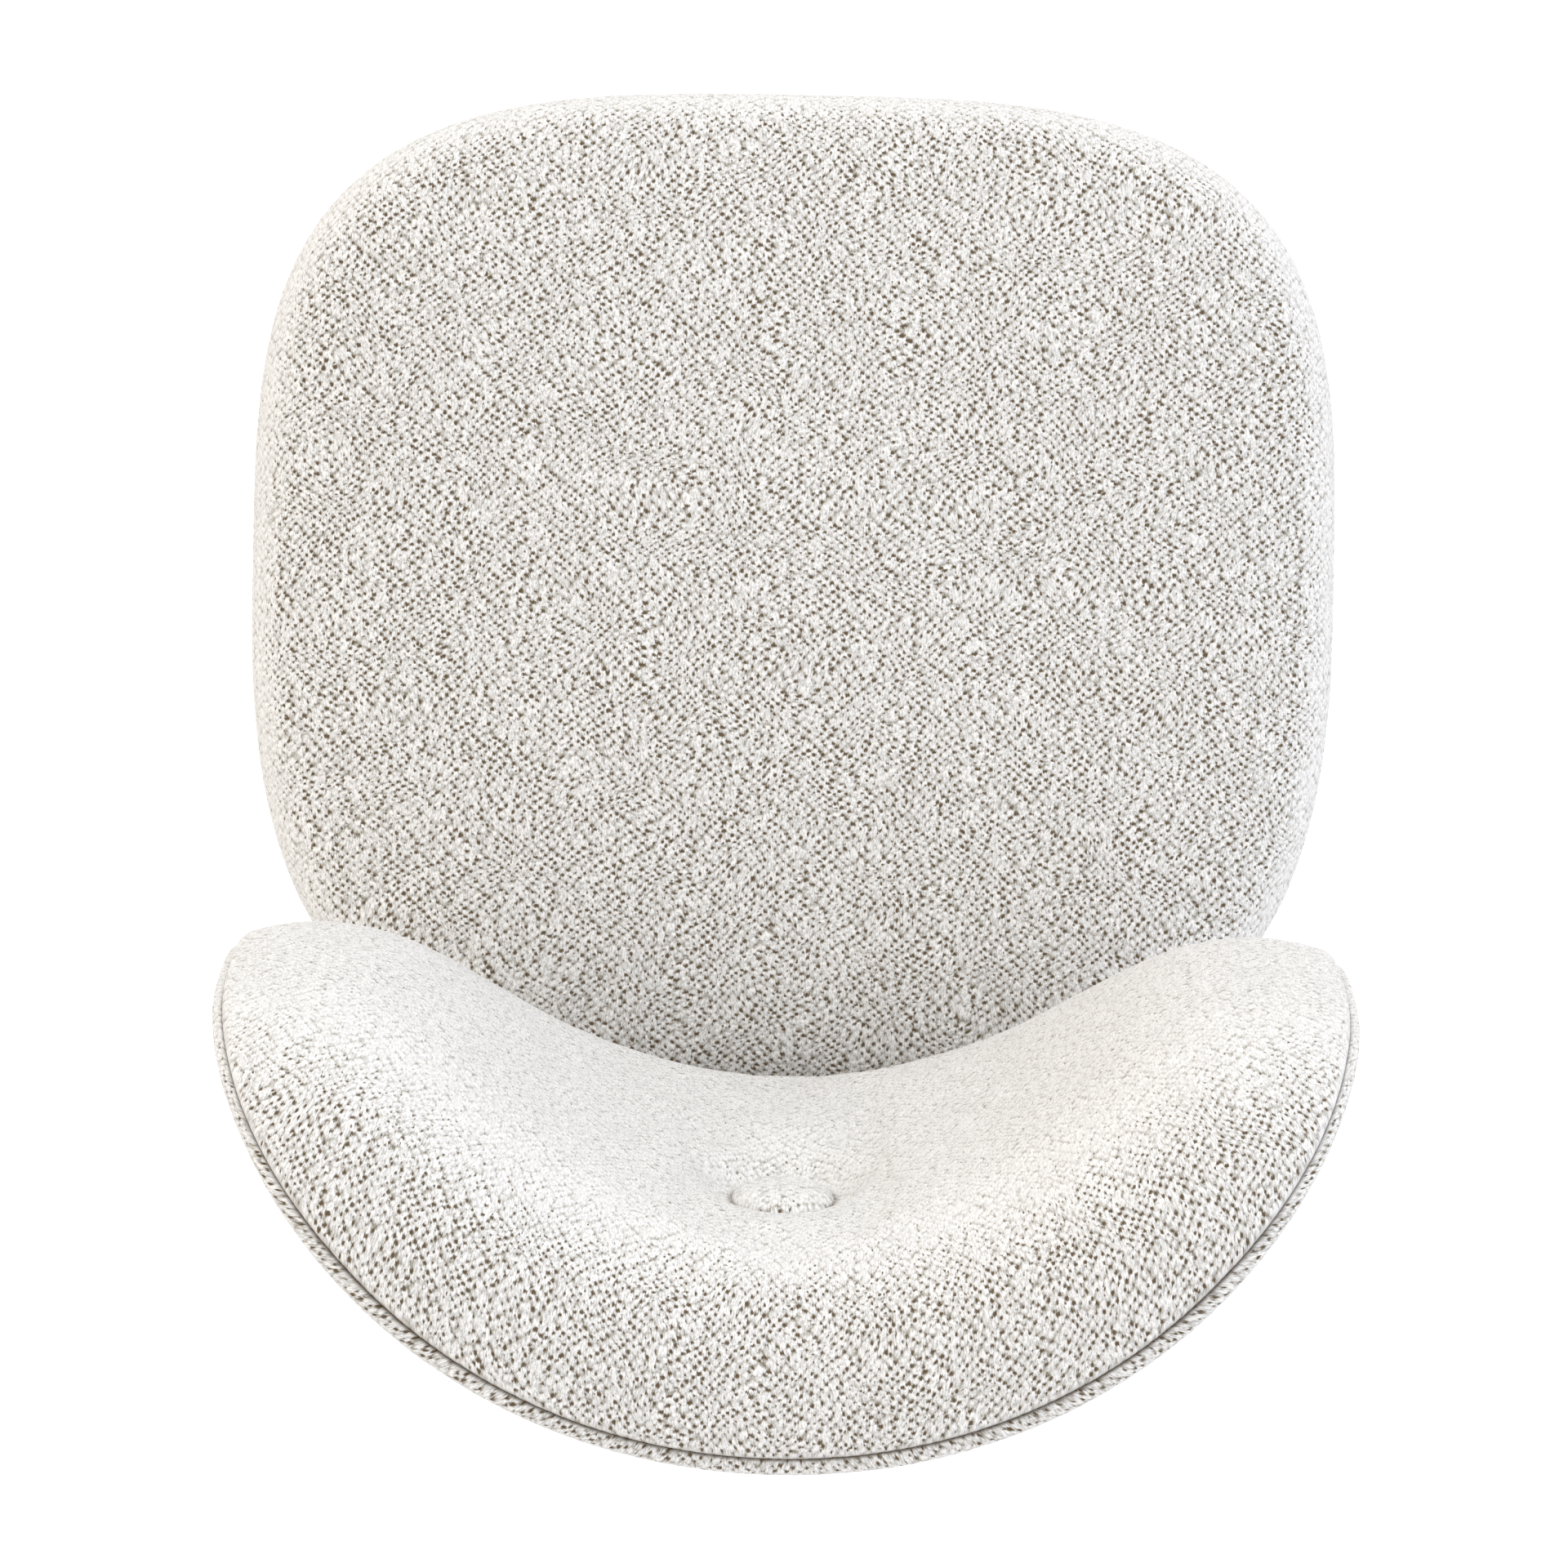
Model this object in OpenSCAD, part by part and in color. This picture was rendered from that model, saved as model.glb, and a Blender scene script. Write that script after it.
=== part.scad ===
// Upholstered seat pad with a wrap-round buttoned back, ready to bolt onto a base.
// Origin: centre of the base bolt pattern, on the underside. The front of the seat faces -Y.

/* [Seat] */
// Width of the seat at its widest contour
seat_w = 500; // [420:1:620]
// Depth from the origin to the front edge
seat_front = 220; // [180:1:270]
// Depth from the origin to the rear edge
seat_rear = 248; // [220:1:275]
// Height of the widest contour above the underside
seat_wide_z = 46; // [38:1:60]
// Rise of the rounded edge above the widest contour
edge_rise = 38; // [28:1:50]
// Run of the rounded edge in from the widest contour
edge_run = 42; // [30:1:55]
// Extra height of the crowned top at its middle
seat_crown = 10; // [4:1:20]
// Inset of the bottom edge from the widest contour
foot_in = 15; // [10:1:22]

/* [Seat board] */
// Thickness of the seat board
board_t = 18; // [15:1:24]
// Diameter of the breather holes in the board
breather_d = 14; // [8:1:20]
// Number of breather holes
breathers = 6; // [3:1:8]

/* [Back] */
// Half angle that the back wraps round the sitter
back_wrap = 68.7; // [50:0.1:75]
// Radius of the rear face of the back shell's cover
back_r = 254; // [235:1:290]
// Thickness of the back pad over its shell
back_t = 80; // [60:1:95]
// Height of the back pad above its widest line
back_up = 158; // [120:1:200]
// Height of the back pad below its widest line
back_down = 167; // [140:1:175]
// Distance of the widest line along the leaning back
back_mid = 310; // [300:1:340]
// Lean of the back from upright
back_tilt = 15.2; // [8:0.1:20]
// Offset of the back's axis behind the origin
back_y = 8; // [5:1:30]

/* [Back shell] */
// Thickness of the bent plywood shell
ply_t = 9; // [7:0.5:12]
// Half angle of the tongue that drops behind the seat
tongue_half = 22; // [20:0.5:26]
// Lower end of the tongue along the leaning back
tongue_end = 72; // [71:0.5:78]

/* [Outer panel] */
// Whole thickness of the upholstered outer panel
panel_t = 7.6; // [6.5:0.1:12]
// Thickness of the outer panel's board
panel_board_t = 3; // [2:0.5:4]
// Step of the outer panel in from the edge of the pad
panel_in = 4; // [2:0.5:8]
// Number of push clips
clips = 8; // [6:1:12]
// Diameter of a clip's shank
clip_d = 6; // [4:0.5:8]

/* [Covers] */
// Thickness of the looped cover fabric
cover_t = 2.4; // [1.5:0.1:3]
// Thickness of the wadding
wadding_t = 4.7; // [3:0.1:8]
// Width of the hem that is turned under and stapled
hem_w = 36; // [28:1:45]
// Width of the hem behind the back shell
back_hem_w = 28; // [20:1:34]
// Thickness of the dust cover
dust_t = 0.6; // [0.4:0.1:1]
// Gap between neighbouring soft layers
gap = 0.3; // [0.1:0.05:0.5]

/* [Button] */
// Diameter of the covered button
button_d = 44; // [30:1:60]
// Height of the button's dome
button_h = 9; // [7:0.5:14]
// Distance of the button along the leaning back
button_w = 337; // [320:1:350]
// Depth that the button is pulled into the pad
dimple = 15; // [8:1:22]
// Width of the dimple's slope round the button
dimple_skirt = 24; // [14:1:40]
// Diameter of one strand of tufting twine
twine_d = 2; // [1.5:0.1:3]

/* [Fasteners] */
// Spacing of the base bolts, both ways
base_spacing = 160; // [120:1:200]
// Diameter of the base bolts
base_bolt_d = 8; // [6:1:10]
// Diameter of the bracket bolts
bolt_d = 6; // [5:0.5:8]
// Clearance on the diameter round a bolt
bolt_clear = 0.5; // [0.2:0.1:1]
// Width of a bracket
bracket_w = 30; // [24:1:36]
// Thickness of a bracket
bracket_t = 4; // [3:0.5:5]
// Angle of each bracket from the middle of the back
bracket_angle = 12; // [10:0.5:14]
// Number of staples in the seat cover's hem
hem_staples = 28; // [16:1:36]
// Width of a staple's crown
staple_w = 10; // [8:0.5:12]
// Thickness of a staple's wire
staple_t = 0.7; // [0.5:0.1:1]

/* [Hidden] */
$fn = 48;

// Exponents of the superellipse outlines: seat front, seat rear and back pad
seat_front_power = 3.35;
seat_rear_power = 2.9;
back_power = 2.9;
// How sharply the back pad rounds over at its edge
back_edge_power = 6.4;
columns = 48;

// Heights of the seat's layers
hem_z = dust_t + 0.1;
board_z = hem_z + cover_t + 0.1;
board_top = board_z + board_t;
seat_edge_z = seat_wide_z + edge_rise;
board_in = foot_in + cover_t + 1;
// Insets of the layers under the cover's outer face
wadding_out = cover_t + 2 * gap;
wadding_in = wadding_out + wadding_t;
foam_out = wadding_in + 2 * gap;
// The same insets in the back, whose layers bend twice and so keep more room
back_wadding_out = cover_t + 4 * gap;
back_wadding_in = back_wadding_out + wadding_t;
back_foam_out = back_wadding_in + 4 * gap;
// Lines of staples and edge of the dust cover, as insets from the widest contour
cover_staple_in = foot_in + 0.45 * hem_w;
dust_cover_in = foot_in + 0.5 * hem_w;
dust_staple_in = foot_in + 0.72 * hem_w;
cover_staple_leg = 10;
dust_staple_leg = board_z + 4;
staple_slack = 0.05;
// How the side curves in below the widest contour, as shares of the bottom inset and of the height
side_curve = [[0.42, 0.38], [0.1, 0.7]];
hem_round = 2.5;

// Radii of the back's layers, from the axis outwards
hem_inner_r = back_r - 0.75 * cover_t;
ply_outer_r = hem_inner_r - 1.2;
ply_inner_r = ply_outer_r - ply_t;
sleeve_outer_r = ply_inner_r - 0.2;
sleeve_inner_r = sleeve_outer_r - cover_t * 0.75;
panel_r = back_r + 0.4;
panel_board_r = panel_r + 0.2;
panel_wadding_r = panel_board_r + panel_board_t + 0.1;
panel_outer_r = panel_r + panel_t;
panel_skin = cover_t * 0.75;
panel_fill_in = panel_in + panel_skin + 1;
ply_in = cover_t + 2.2;

// Button and its fastening, along the radius through the button
dimple_r = back_r - back_t + dimple;
button_sink = 1.9;
button_rim_r = dimple_r - button_sink;
fabric_wrap = 1.6;
cap_t = 0.8;
eye_r = 3;
eye_wire = 1.6;
twine_bore = 3 * twine_d;
washer_t = 1.5;

// Brackets and their bolts
bracket_r = sleeve_inner_r - bracket_w * bracket_w / (8 * sleeve_inner_r) - 0.2;
bracket_leg_top = 134;
back_bolt_rows = [94, 118];
seat_bolt_steps = [34, 62];
bracket_reach = 78;
bolt_hole = bolt_d + bolt_clear;
head_d = 1.8 * bolt_d;
head_h = 2.3;
nut_h = 0.8 * bolt_d;
washer_d = 2 * bolt_d;
tee_flange_t = 1.2;
tee_flange = 2.75;
tee_wall = 1;
bracket_corner_y = back_y + (bracket_r * cos(bracket_angle) + board_z * sin(back_tilt)) / cos(back_tilt);
bracket_corner_x = bracket_r * sin(bracket_angle);

clip_angles = [for (i = [0 : clips - 1]) (i + 0.5) * 360 / clips];
clip_inset = back_hem_w + 22;

// Half size of a superellipse along direction a
function reach(a, power) = pow(pow(abs(cos(a)), power) + pow(abs(sin(a)), power), -1 / power);

// One point of the seat outline, inset by d and scaled by s
function seat_point(a, d, s = 1) =
    let (rear = sin(a) > 0, k = s * reach(a, rear ? seat_rear_power : seat_front_power))
    [(seat_w / 2 - d) * cos(a) * k, ((rear ? seat_rear : seat_front) - d) * sin(a) * k];
function seat_loop(d, z, s = 1) =
    [for (i = [0 : columns - 1]) let (p = seat_point(i * 360 / columns, d, s)) [p[0], p[1], z]];

// Side profile of the seat as [inset, height], from the bottom edge up and over
seat_side = concat(
    [[foot_in + hem_w, hem_z], [foot_in + hem_round, hem_z], [foot_in - 1, hem_z + hem_round]],
    [for (c = side_curve) [foot_in * c[0], seat_wide_z * c[1]]],
    [for (t = [0, 22, 44, 66, 90]) [edge_run * (1 - cos(t)), seat_wide_z + edge_rise * sin(t)]]
);
function side_tangent(i) =
    let (p = seat_side[max(i - 1, 0)], q = seat_side[min(i + 1, len(seat_side) - 1)], v = q - p)
    v / norm(v);
// The same profile moved inwards by t
function side_at(i, t) = let (v = side_tangent(i)) seat_side[i] + t * [v[1], -v[0]];
crown_steps = [0.75, 0.5, 0.25];
function side_loops(first, t) =
    [for (i = [first : len(seat_side) - 1]) let (p = side_at(i, t)) seat_loop(p[0], p[1])];
function crown_loops(t) =
    [for (s = crown_steps) seat_loop(edge_run, seat_edge_z + seat_crown * (1 - s * s) - t, s)];
function crown_pole(t) = [0, 0, seat_edge_z + seat_crown - t];

// A point of the leaning back, from its angle, its distance along the lean and its radius
function back_point(a, w, r) =
    let (x = r * sin(a), y = r * cos(a))
    [x, back_y + y * cos(back_tilt) + w * sin(back_tilt), w * cos(back_tilt) - y * sin(back_tilt)];
// Outline of the back pad as [angle, distance], inset by t
function back_outline(a, t) =
    let (k = reach(a, back_power), half = back_wrap - t / back_r * 180 / PI)
    [half * cos(a) * k, back_mid + ((sin(a) > 0 ? back_up : back_down) - t) * sin(a) * k];
function dimple_at(p) =
    let (d = norm([p[0] * PI / 180 * dimple_r, p[1] - button_w]))
    dimple * exp(-pow(max(0, d - button_d / 2 - 1) / dimple_skirt, 2));
// Radius of the pad's front face at p, under a layer t thick. Layers inside the cover stop before the shell
function pad_r(p, t) = t > cover_t ? min(face_r(p, t), ply_inner_r - gap) : face_r(p, t);
function face_r(p, t) =
    let (half = back_wrap - t / back_r * 180 / PI, dw = p[1] - back_mid)
    let (h = (dw > 0 ? back_up : back_down) - t)
    let (rho = pow(pow(abs(p[0]) / half, back_power) + pow(abs(dw) / h, back_power), 1 / back_power))
    back_r - (back_t - t) * sqrt(max(0, 1 - pow(min(rho, 1), back_edge_power))) + dimple_at(p);
pad_steps = [0.997, 0.985, 0.955, 0.9, 0.8, 0.65];
dimple_steps = [3.2, 2.1, 1.5, 1.05];
rear_steps = [0.25, 0.5, 0.75, 0.95];
function pad_loop(s, t) =
    [for (i = [0 : columns - 1])
        let (o = back_outline(i * 360 / columns, t), c = [0, button_w], p = c + s * (o - c))
        back_point(p[0], p[1], pad_r(p, t))];
function dimple_loop(s, t) =
    [for (i = [0 : columns - 1])
        let (o = back_outline(i * 360 / columns, t), deg = 180 / PI / dimple_r)
        let (v = [o[0] / deg, o[1] - button_w], u = v / norm(v) * s * button_d / 2)
        let (p = [u[0] * deg, button_w + u[1]])
        back_point(p[0], p[1], pad_r(p, t))];
function pad_front(t) =
    concat([for (s = pad_steps) pad_loop(s, t)], [for (s = dimple_steps) dimple_loop(s, t)]);
function pad_pole(t) = back_point(0, button_w, pad_r([0, button_w], t));
function flat_loop(t, r, s = 1) =
    [for (i = [0 : columns - 1])
        let (o = back_outline(i * 360 / columns, t), c = [0, back_mid], p = c + s * (o - c))
        back_point(p[0], p[1], r)];

// Outline of the shell with its tongue, inset by t
function tongue_x(t) = tongue_half - t / back_r * 180 / PI;
function shell_outline(t) = concat(
    [for (i = [0 : 59]) let (a = -66 + i * 312 / 59) back_outline(a, t)],
    [[-tongue_x(t) - 6, back_mid - back_down + t + 5], [-tongue_x(t) - 1.5, back_mid - back_down + t - 6]],
    [[-tongue_x(t), back_mid - back_down + t - 20], [-tongue_x(t), tongue_end + t + 8]],
    [for (k = [-1 : 0.2 : 1]) [k * (tongue_x(t) - 2), tongue_end + t]],
    [[tongue_x(t), tongue_end + t + 8], [tongue_x(t), back_mid - back_down + t - 20]],
    [[tongue_x(t) + 1.5, back_mid - back_down + t - 6], [tongue_x(t) + 6, back_mid - back_down + t + 5]]
);

// A closed solid through a list of loops, with a point closing each end
module loft(loops, first_pole, last_pole) {
    n = len(loops[0]);
    m = len(loops);
    points = concat([first_pole], [for (l = loops) for (p = l) p], [last_pole]);
    faces = concat(
        [for (i = [0 : n - 1]) [0, 1 + i, 1 + (i + 1) % n]],
        [for (j = [0 : m - 2]) for (i = [0 : n - 1])
            [1 + j * n + i, 1 + (j + 1) * n + i, 1 + (j + 1) * n + (i + 1) % n]],
        [for (j = [0 : m - 2]) for (i = [0 : n - 1])
            [1 + j * n + i, 1 + (j + 1) * n + (i + 1) % n, 1 + j * n + (i + 1) % n]],
        [for (i = [0 : n - 1]) [1 + m * n, 1 + (m - 1) * n + (i + 1) % n, 1 + (m - 1) * n + i]]
    );
    polyhedron(points, faces);
}

// A closed strip with a loop along each of its edges
module band(loops) {
    n = len(loops[0]);
    m = len(loops);
    points = [for (l = loops) for (p = l) p];
    faces = concat(
        [for (j = [0 : m - 1]) for (i = [0 : n - 1])
            [j * n + i, ((j + 1) % m) * n + i, ((j + 1) % m) * n + (i + 1) % n]],
        [for (j = [0 : m - 1]) for (i = [0 : n - 1])
            [j * n + i, ((j + 1) % m) * n + (i + 1) % n, j * n + (i + 1) % n]]
    );
    polyhedron(points, faces);
}

// Places children in the leaning frame of the back, whose axis is Z
module leaning() {
    translate([0, back_y, 0]) rotate([-back_tilt, 0, 0]) children();
}

// Places children on the back at angle a and distance w, with Z pointing outwards from radius r
module on_back(a, w, r) {
    leaning() rotate([0, 0, -a]) translate([0, r, w]) rotate([-90, 0, 0]) children();
}

// A wedge from the back's axis outwards, bounded by the shell outline inset by t
module shell_wedge(t) {
    outline = shell_outline(t);
    near = [for (p = outline) [0.8 * back_r * sin(p[0]), 0.8 * back_r * cos(p[0]), p[1]]];
    far = [for (p = outline) [1.2 * back_r * sin(p[0]), 1.2 * back_r * cos(p[0]), p[1]]];
    loft([near, far], [0, 0, back_mid], [0, 3 * back_r, back_mid]);
}

// A sheet bent to the back's curve, from radius r1 to r2
module bent_sheet(r1, r2, t) {
    leaning() intersection() {
        translate([0, 0, tongue_end - 10]) rotate_extrude($fn = 120)
            translate([r1, 0]) square([r2 - r1, 2 * back_mid]);
        shell_wedge(t);
    }
}

module seat_bolt_places() {
    for (side = [-1, 1]) for (step = seat_bolt_steps)
        translate([side * bracket_corner_x, bracket_corner_y, 0])
            rotate([0, 0, -side * bracket_angle]) translate([0, -step, 0]) children();
}

module base_bolt_places() {
    for (x = [-1, 1]) for (y = [-1, 1]) translate([x * base_spacing / 2, y * base_spacing / 2, 0]) children();
}

module back_bolt_places(r) {
    for (side = [-1, 1]) for (w = back_bolt_rows) on_back(side * bracket_angle, w, r) children();
}

module clip_places(r) {
    for (a = clip_angles) let (p = back_outline(a, clip_inset)) on_back(p[0], p[1], r) children();
}

// Staple pockets and staples round the seat's hem, at inset d from the widest contour
module hem_places(count, d, turn = 0) {
    for (i = [0 : count - 1])
        let (a = (i + 0.5) * 360 / count + turn, p = seat_point(a, d), q = seat_point(a + 1, d))
        if (abs(p[0]) > bracket_corner_x + bracket_w || p[1] < 0)
            translate([p[0], p[1], 0]) rotate([0, 0, atan2(q[1] - p[1], q[0] - p[0])]) children();
}

module staple(z, leg) {
    translate([-staple_w / 2, -staple_t / 2, z]) cube([staple_w, staple_t, staple_t]);
    for (x = [-staple_w / 2, staple_w / 2 - staple_t])
        translate([x, -staple_t / 2, z]) cube([staple_t, staple_t, leg]);
}

module staple_slot(z, leg) {
    wide = staple_w + 2 * staple_slack;
    deep = staple_t + 2 * staple_slack;
    translate([-wide / 2, -deep / 2, z]) cube([wide, deep, leg + 2 * staple_slack]);
}

module board_outline(d) {
    polygon([for (i = [0 : 95]) seat_point(i * 3.75, d)]);
}

module bracket(side) {
    color("silver") difference() {
        union() {
            intersection() {
                leaning() rotate([0, 0, -side * bracket_angle])
                    translate([-bracket_w / 2, bracket_r - bracket_t, 0])
                        cube([bracket_w, bracket_t, bracket_leg_top]);
                translate([-seat_w / 2, 0, board_z]) cube([seat_w, 2 * seat_rear, 2 * bracket_leg_top]);
            }
            translate([side * bracket_corner_x, bracket_corner_y, board_z])
                rotate([0, 0, -side * bracket_angle]) translate([-bracket_w / 2, -bracket_reach, 0])
                    cube([bracket_w, bracket_reach, bracket_t]);
        }
        seat_bolt_places() cylinder(d = bolt_hole, h = 2 * board_t);
        back_bolt_places(bracket_r - 2 * bracket_t) cylinder(d = bolt_hole, h = 4 * bracket_t);
    }
}

// Pocket in the underside of the board for one bracket
module bracket_pocket(side) {
    translate([side * bracket_corner_x, bracket_corner_y, board_z - 1]) rotate([0, 0, -side * bracket_angle])
        translate([-bracket_w / 2 - 0.2, -bracket_reach - 0.2, 0])
            cube([bracket_w + 0.4, 2 * bracket_reach, bracket_t + 1.2]);
}

module seat_board() {
    color("burlywood") difference() {
        translate([0, 0, board_z]) linear_extrude(board_t) board_outline(board_in);
        for (side = [-1, 1]) bracket_pocket(side);
        base_bolt_places() {
            cylinder(d = base_bolt_d + 2 * tee_wall + 0.2, h = 2 * board_t);
            translate([0, 0, board_top - tee_flange_t - 0.1])
                cylinder(d = tee_flange * base_bolt_d + 0.2, h = 2 * board_t);
        }
        seat_bolt_places() {
            cylinder(d = bolt_d + 2 * tee_wall + 0.2, h = 2 * board_t);
            translate([0, 0, board_top - tee_flange_t - 0.1])
                cylinder(d = tee_flange * bolt_d + 0.2, h = 2 * board_t);
        }
        for (i = [0 : breathers - 1]) rotate([0, 0, i * 360 / breathers])
            translate([base_spacing * 0.85, 0, 0]) cylinder(d = breather_d, h = 2 * board_t);
        hem_places(hem_staples, cover_staple_in) staple_slot(board_z - 1, cover_staple_leg);
        hem_places(hem_staples, dust_staple_in, 180 / hem_staples) staple_slot(board_z - 1, dust_staple_leg);
    }
}

module tee_nut(d, low) {
    difference() {
        union() {
            translate([0, 0, low]) cylinder(d = d + 2 * tee_wall, h = board_top - tee_flange_t - low);
            translate([0, 0, board_top - tee_flange_t]) cylinder(d = tee_flange * d, h = tee_flange_t);
        }
        translate([0, 0, low - 1]) cylinder(d = d, h = 2 * board_t);
    }
}

module base_tee_nuts() {
    color("silver") base_bolt_places() tee_nut(base_bolt_d, board_z);
}

module bracket_tee_nuts() {
    color("silver") seat_bolt_places() tee_nut(bolt_d, board_z + bracket_t + 1);
}

module seat_foam_base() {
    p = side_at(3, foam_out);
    q = side_at(4, foam_out);
    r = side_at(5, foam_out);
    split = side_at(6, foam_out);
    low = board_top + gap;
    low_in = p[0] + (q[0] - p[0]) * (low - p[1]) / (q[1] - p[1]);
    color("khaki") loft(
        [seat_loop(low_in, low), seat_loop(q[0], q[1]), seat_loop(r[0], r[1]), seat_loop(split[0], split[1])],
        [0, 0, low], [0, 0, split[1]]
    );
}

module seat_foam_top() {
    split = side_at(6, foam_out);
    low = split[1] + gap;
    color("lemonchiffon") loft(
        concat([seat_loop(split[0] + gap, low)], side_loops(7, foam_out), crown_loops(foam_out)),
        [0, 0, low], crown_pole(foam_out)
    );
}

// Turns a layer's inner loops back so that they run towards its rim
function backwards(loops) = [for (i = [len(loops) - 1 : -1 : 0]) loops[i]];

module seat_wadding() {
    inner = concat(side_loops(4, wadding_in), crown_loops(wadding_in));
    outer = concat(side_loops(4, wadding_out), crown_loops(wadding_out));
    color("white") loft(concat(backwards(inner), outer), crown_pole(wadding_in), crown_pole(wadding_out));
}

module seat_cover() {
    inner = concat(side_loops(0, cover_t), crown_loops(cover_t));
    outer = concat(side_loops(0, 0), crown_loops(0));
    color("ivory") difference() {
        loft(concat(backwards(inner), outer), crown_pole(cover_t), crown_pole(0));
        hem_places(hem_staples, cover_staple_in) staple_slot(hem_z - 1, 2 * cover_t);
        hem_places(hem_staples, dust_staple_in, 180 / hem_staples) staple_slot(hem_z - 1, 2 * cover_t);
        for (side = [-1, 1]) for (drop = [0, cover_t]) translate([0, 0, -drop]) bracket_pocket(side);
    }
}

module seat_cover_staples() {
    color("silver") hem_places(hem_staples, cover_staple_in) staple(hem_z + 0.1, cover_staple_leg);
}

module seat_dust_cover() {
    color("dimgray") difference() {
        linear_extrude(dust_t) board_outline(dust_cover_in);
        base_bolt_places() translate([0, 0, -1]) cylinder(d = 2 * base_bolt_d, h = 4);
        hem_places(hem_staples, dust_staple_in, 180 / hem_staples) staple_slot(-1, 2 * cover_t);
    }
}

module dust_cover_staples() {
    color("silver") hem_places(hem_staples, dust_staple_in, 180 / hem_staples)
        staple(staple_slack, dust_staple_leg);
}

module back_shell() {
    color("burlywood") difference() {
        bent_sheet(ply_inner_r, ply_outer_r, ply_in);
        back_bolt_places(ply_inner_r - 5) cylinder(d = bolt_hole, h = ply_t + 10);
        clip_places(ply_inner_r - 5) cylinder(d = clip_d + 0.2, h = ply_t + 10);
        on_back(0, button_w, ply_inner_r - 5) cylinder(d = twine_bore, h = ply_t + 10);
    }
}

module back_foam() {
    color("khaki") difference() {
        loft(
            concat([for (s = rear_steps) flat_loop(back_foam_out, ply_inner_r - gap, s)], pad_front(back_foam_out)),
            back_point(0, back_mid, ply_inner_r - gap), pad_pole(back_foam_out)
        );
        on_back(0, button_w, dimple_r - 10) cylinder(d = twine_bore, h = back_t);
    }
}

module back_wadding() {
    inner = pad_front(back_wadding_in);
    outer = pad_front(back_wadding_out);
    color("white") difference() {
        loft(concat(backwards(inner), outer), pad_pole(back_wadding_in), pad_pole(back_wadding_out));
        on_back(0, button_w, dimple_r - 10) cylinder(d = twine_bore, h = back_t);
    }
}

// Room for the tongue, which leaves the pad through a slit in the bottom of its cover
module tongue_slit() {
    half = tongue_half + 5;
    leaning() rotate([0, 0, 90 - half]) translate([0, 0, tongue_end]) rotate_extrude(angle = 2 * half, $fn = 120)
        translate([ply_inner_r - gap, 0]) square([ply_t + 2 * gap, back_mid - back_down + ply_in - tongue_end]);
}

module back_cover() {
    inner = concat([flat_loop(back_hem_w, hem_inner_r), flat_loop(cover_t, hem_inner_r)], pad_front(cover_t));
    outer = concat([flat_loop(back_hem_w, back_r), flat_loop(0.8, back_r)], pad_front(0));
    color("ivory") difference() {
        loft(concat(backwards(inner), outer), pad_pole(cover_t), pad_pole(0));
        tongue_slit();
        on_back(0, button_w, dimple_r - 10) cylinder(d = twine_bore, h = back_t);
    }
}

// Stapled over the hem on the shell's rear face
module back_cover_staples() {
    crown_t = staple_t / 2;
    color("silver") for (i = [0 : hem_staples - 1])
        let (p = back_outline((i + 0.5) * 360 / hem_staples, back_hem_w / 2))
        on_back(p[0], p[1], back_r)
            translate([-staple_w / 2, -staple_t / 2, 0]) cube([staple_w, staple_t, crown_t]);
}

module tongue_cover() {
    half = tongue_x(ply_in);
    low = tongue_end + ply_in;
    color("ivory") difference() {
        leaning() rotate([0, 0, 90 - half]) translate([0, 0, low]) rotate_extrude(angle = 2 * half, $fn = 120)
            translate([sleeve_inner_r, 0])
                square([sleeve_outer_r - sleeve_inner_r, back_mid - back_down - 2 - low]);
        back_bolt_places(sleeve_inner_r - 5) cylinder(d = bolt_hole, h = 15);
    }
}

module outer_panel_board() {
    color("tan") difference() {
        bent_sheet(panel_board_r, panel_board_r + panel_board_t, panel_fill_in);
        clip_places(panel_board_r - 5) cylinder(d = clip_d + 0.2, h = 15);
        back_bolt_places(panel_board_r - 5) cylinder(d = washer_d + 3, h = 15);
    }
}

module outer_panel_wadding() {
    color("white") bent_sheet(panel_wadding_r, panel_outer_r - panel_skin - 0.1, panel_fill_in);
}

module outer_panel_cover() {
    color("ivory") bent_sheet(panel_outer_r - panel_skin, panel_outer_r, panel_in);
}

// Strip of fabric round the panel's edge, sewn to the cover
module outer_panel_border() {
    outer = shell_outline(panel_in);
    inner = shell_outline(panel_in + panel_skin);
    far = panel_outer_r - panel_skin - 0.1;
    color("ivory") band([
        [for (p = outer) back_point(p[0], p[1], panel_r)], [for (p = outer) back_point(p[0], p[1], far)],
        [for (p = inner) back_point(p[0], p[1], far)], [for (p = inner) back_point(p[0], p[1], panel_r)]
    ]);
}

// Push clips that hold the outer panel to the shell
module panel_clips() {
    color("gray") clip_places(ply_inner_r) {
        cylinder(d = clip_d, h = panel_board_r + panel_board_t - ply_inner_r);
        translate([0, 0, ply_t + 0.1]) cylinder(d = 2.4 * clip_d, h = panel_board_r - ply_outer_r - 0.3);
    }
}

module left_bracket() {
    bracket(-1);
}

module right_bracket() {
    bracket(1);
}

module bracket_seat_bolts() {
    color("silver") seat_bolt_places() {
        translate([0, 0, board_z - head_h - 0.1]) cylinder(d = head_d, h = head_h);
        translate([0, 0, board_z - 0.2]) cylinder(d = bolt_d - 0.1, h = board_t - 1);
    }
}

module bracket_back_bolts() {
    head = ply_outer_r + 1.1;
    length = ply_t + cover_t + bracket_t + nut_h + 4;
    color("silver") back_bolt_places(head) {
        cylinder(d = head_d, h = head_h);
        translate([0, 0, -length]) cylinder(d = bolt_d - 0.1, h = length + 0.2);
    }
}

module bracket_back_washers() {
    color("silver") back_bolt_places(ply_outer_r + 0.05) difference() {
        cylinder(d = washer_d, h = 1);
        translate([0, 0, -1]) cylinder(d = bolt_hole, h = 3);
    }
}

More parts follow.
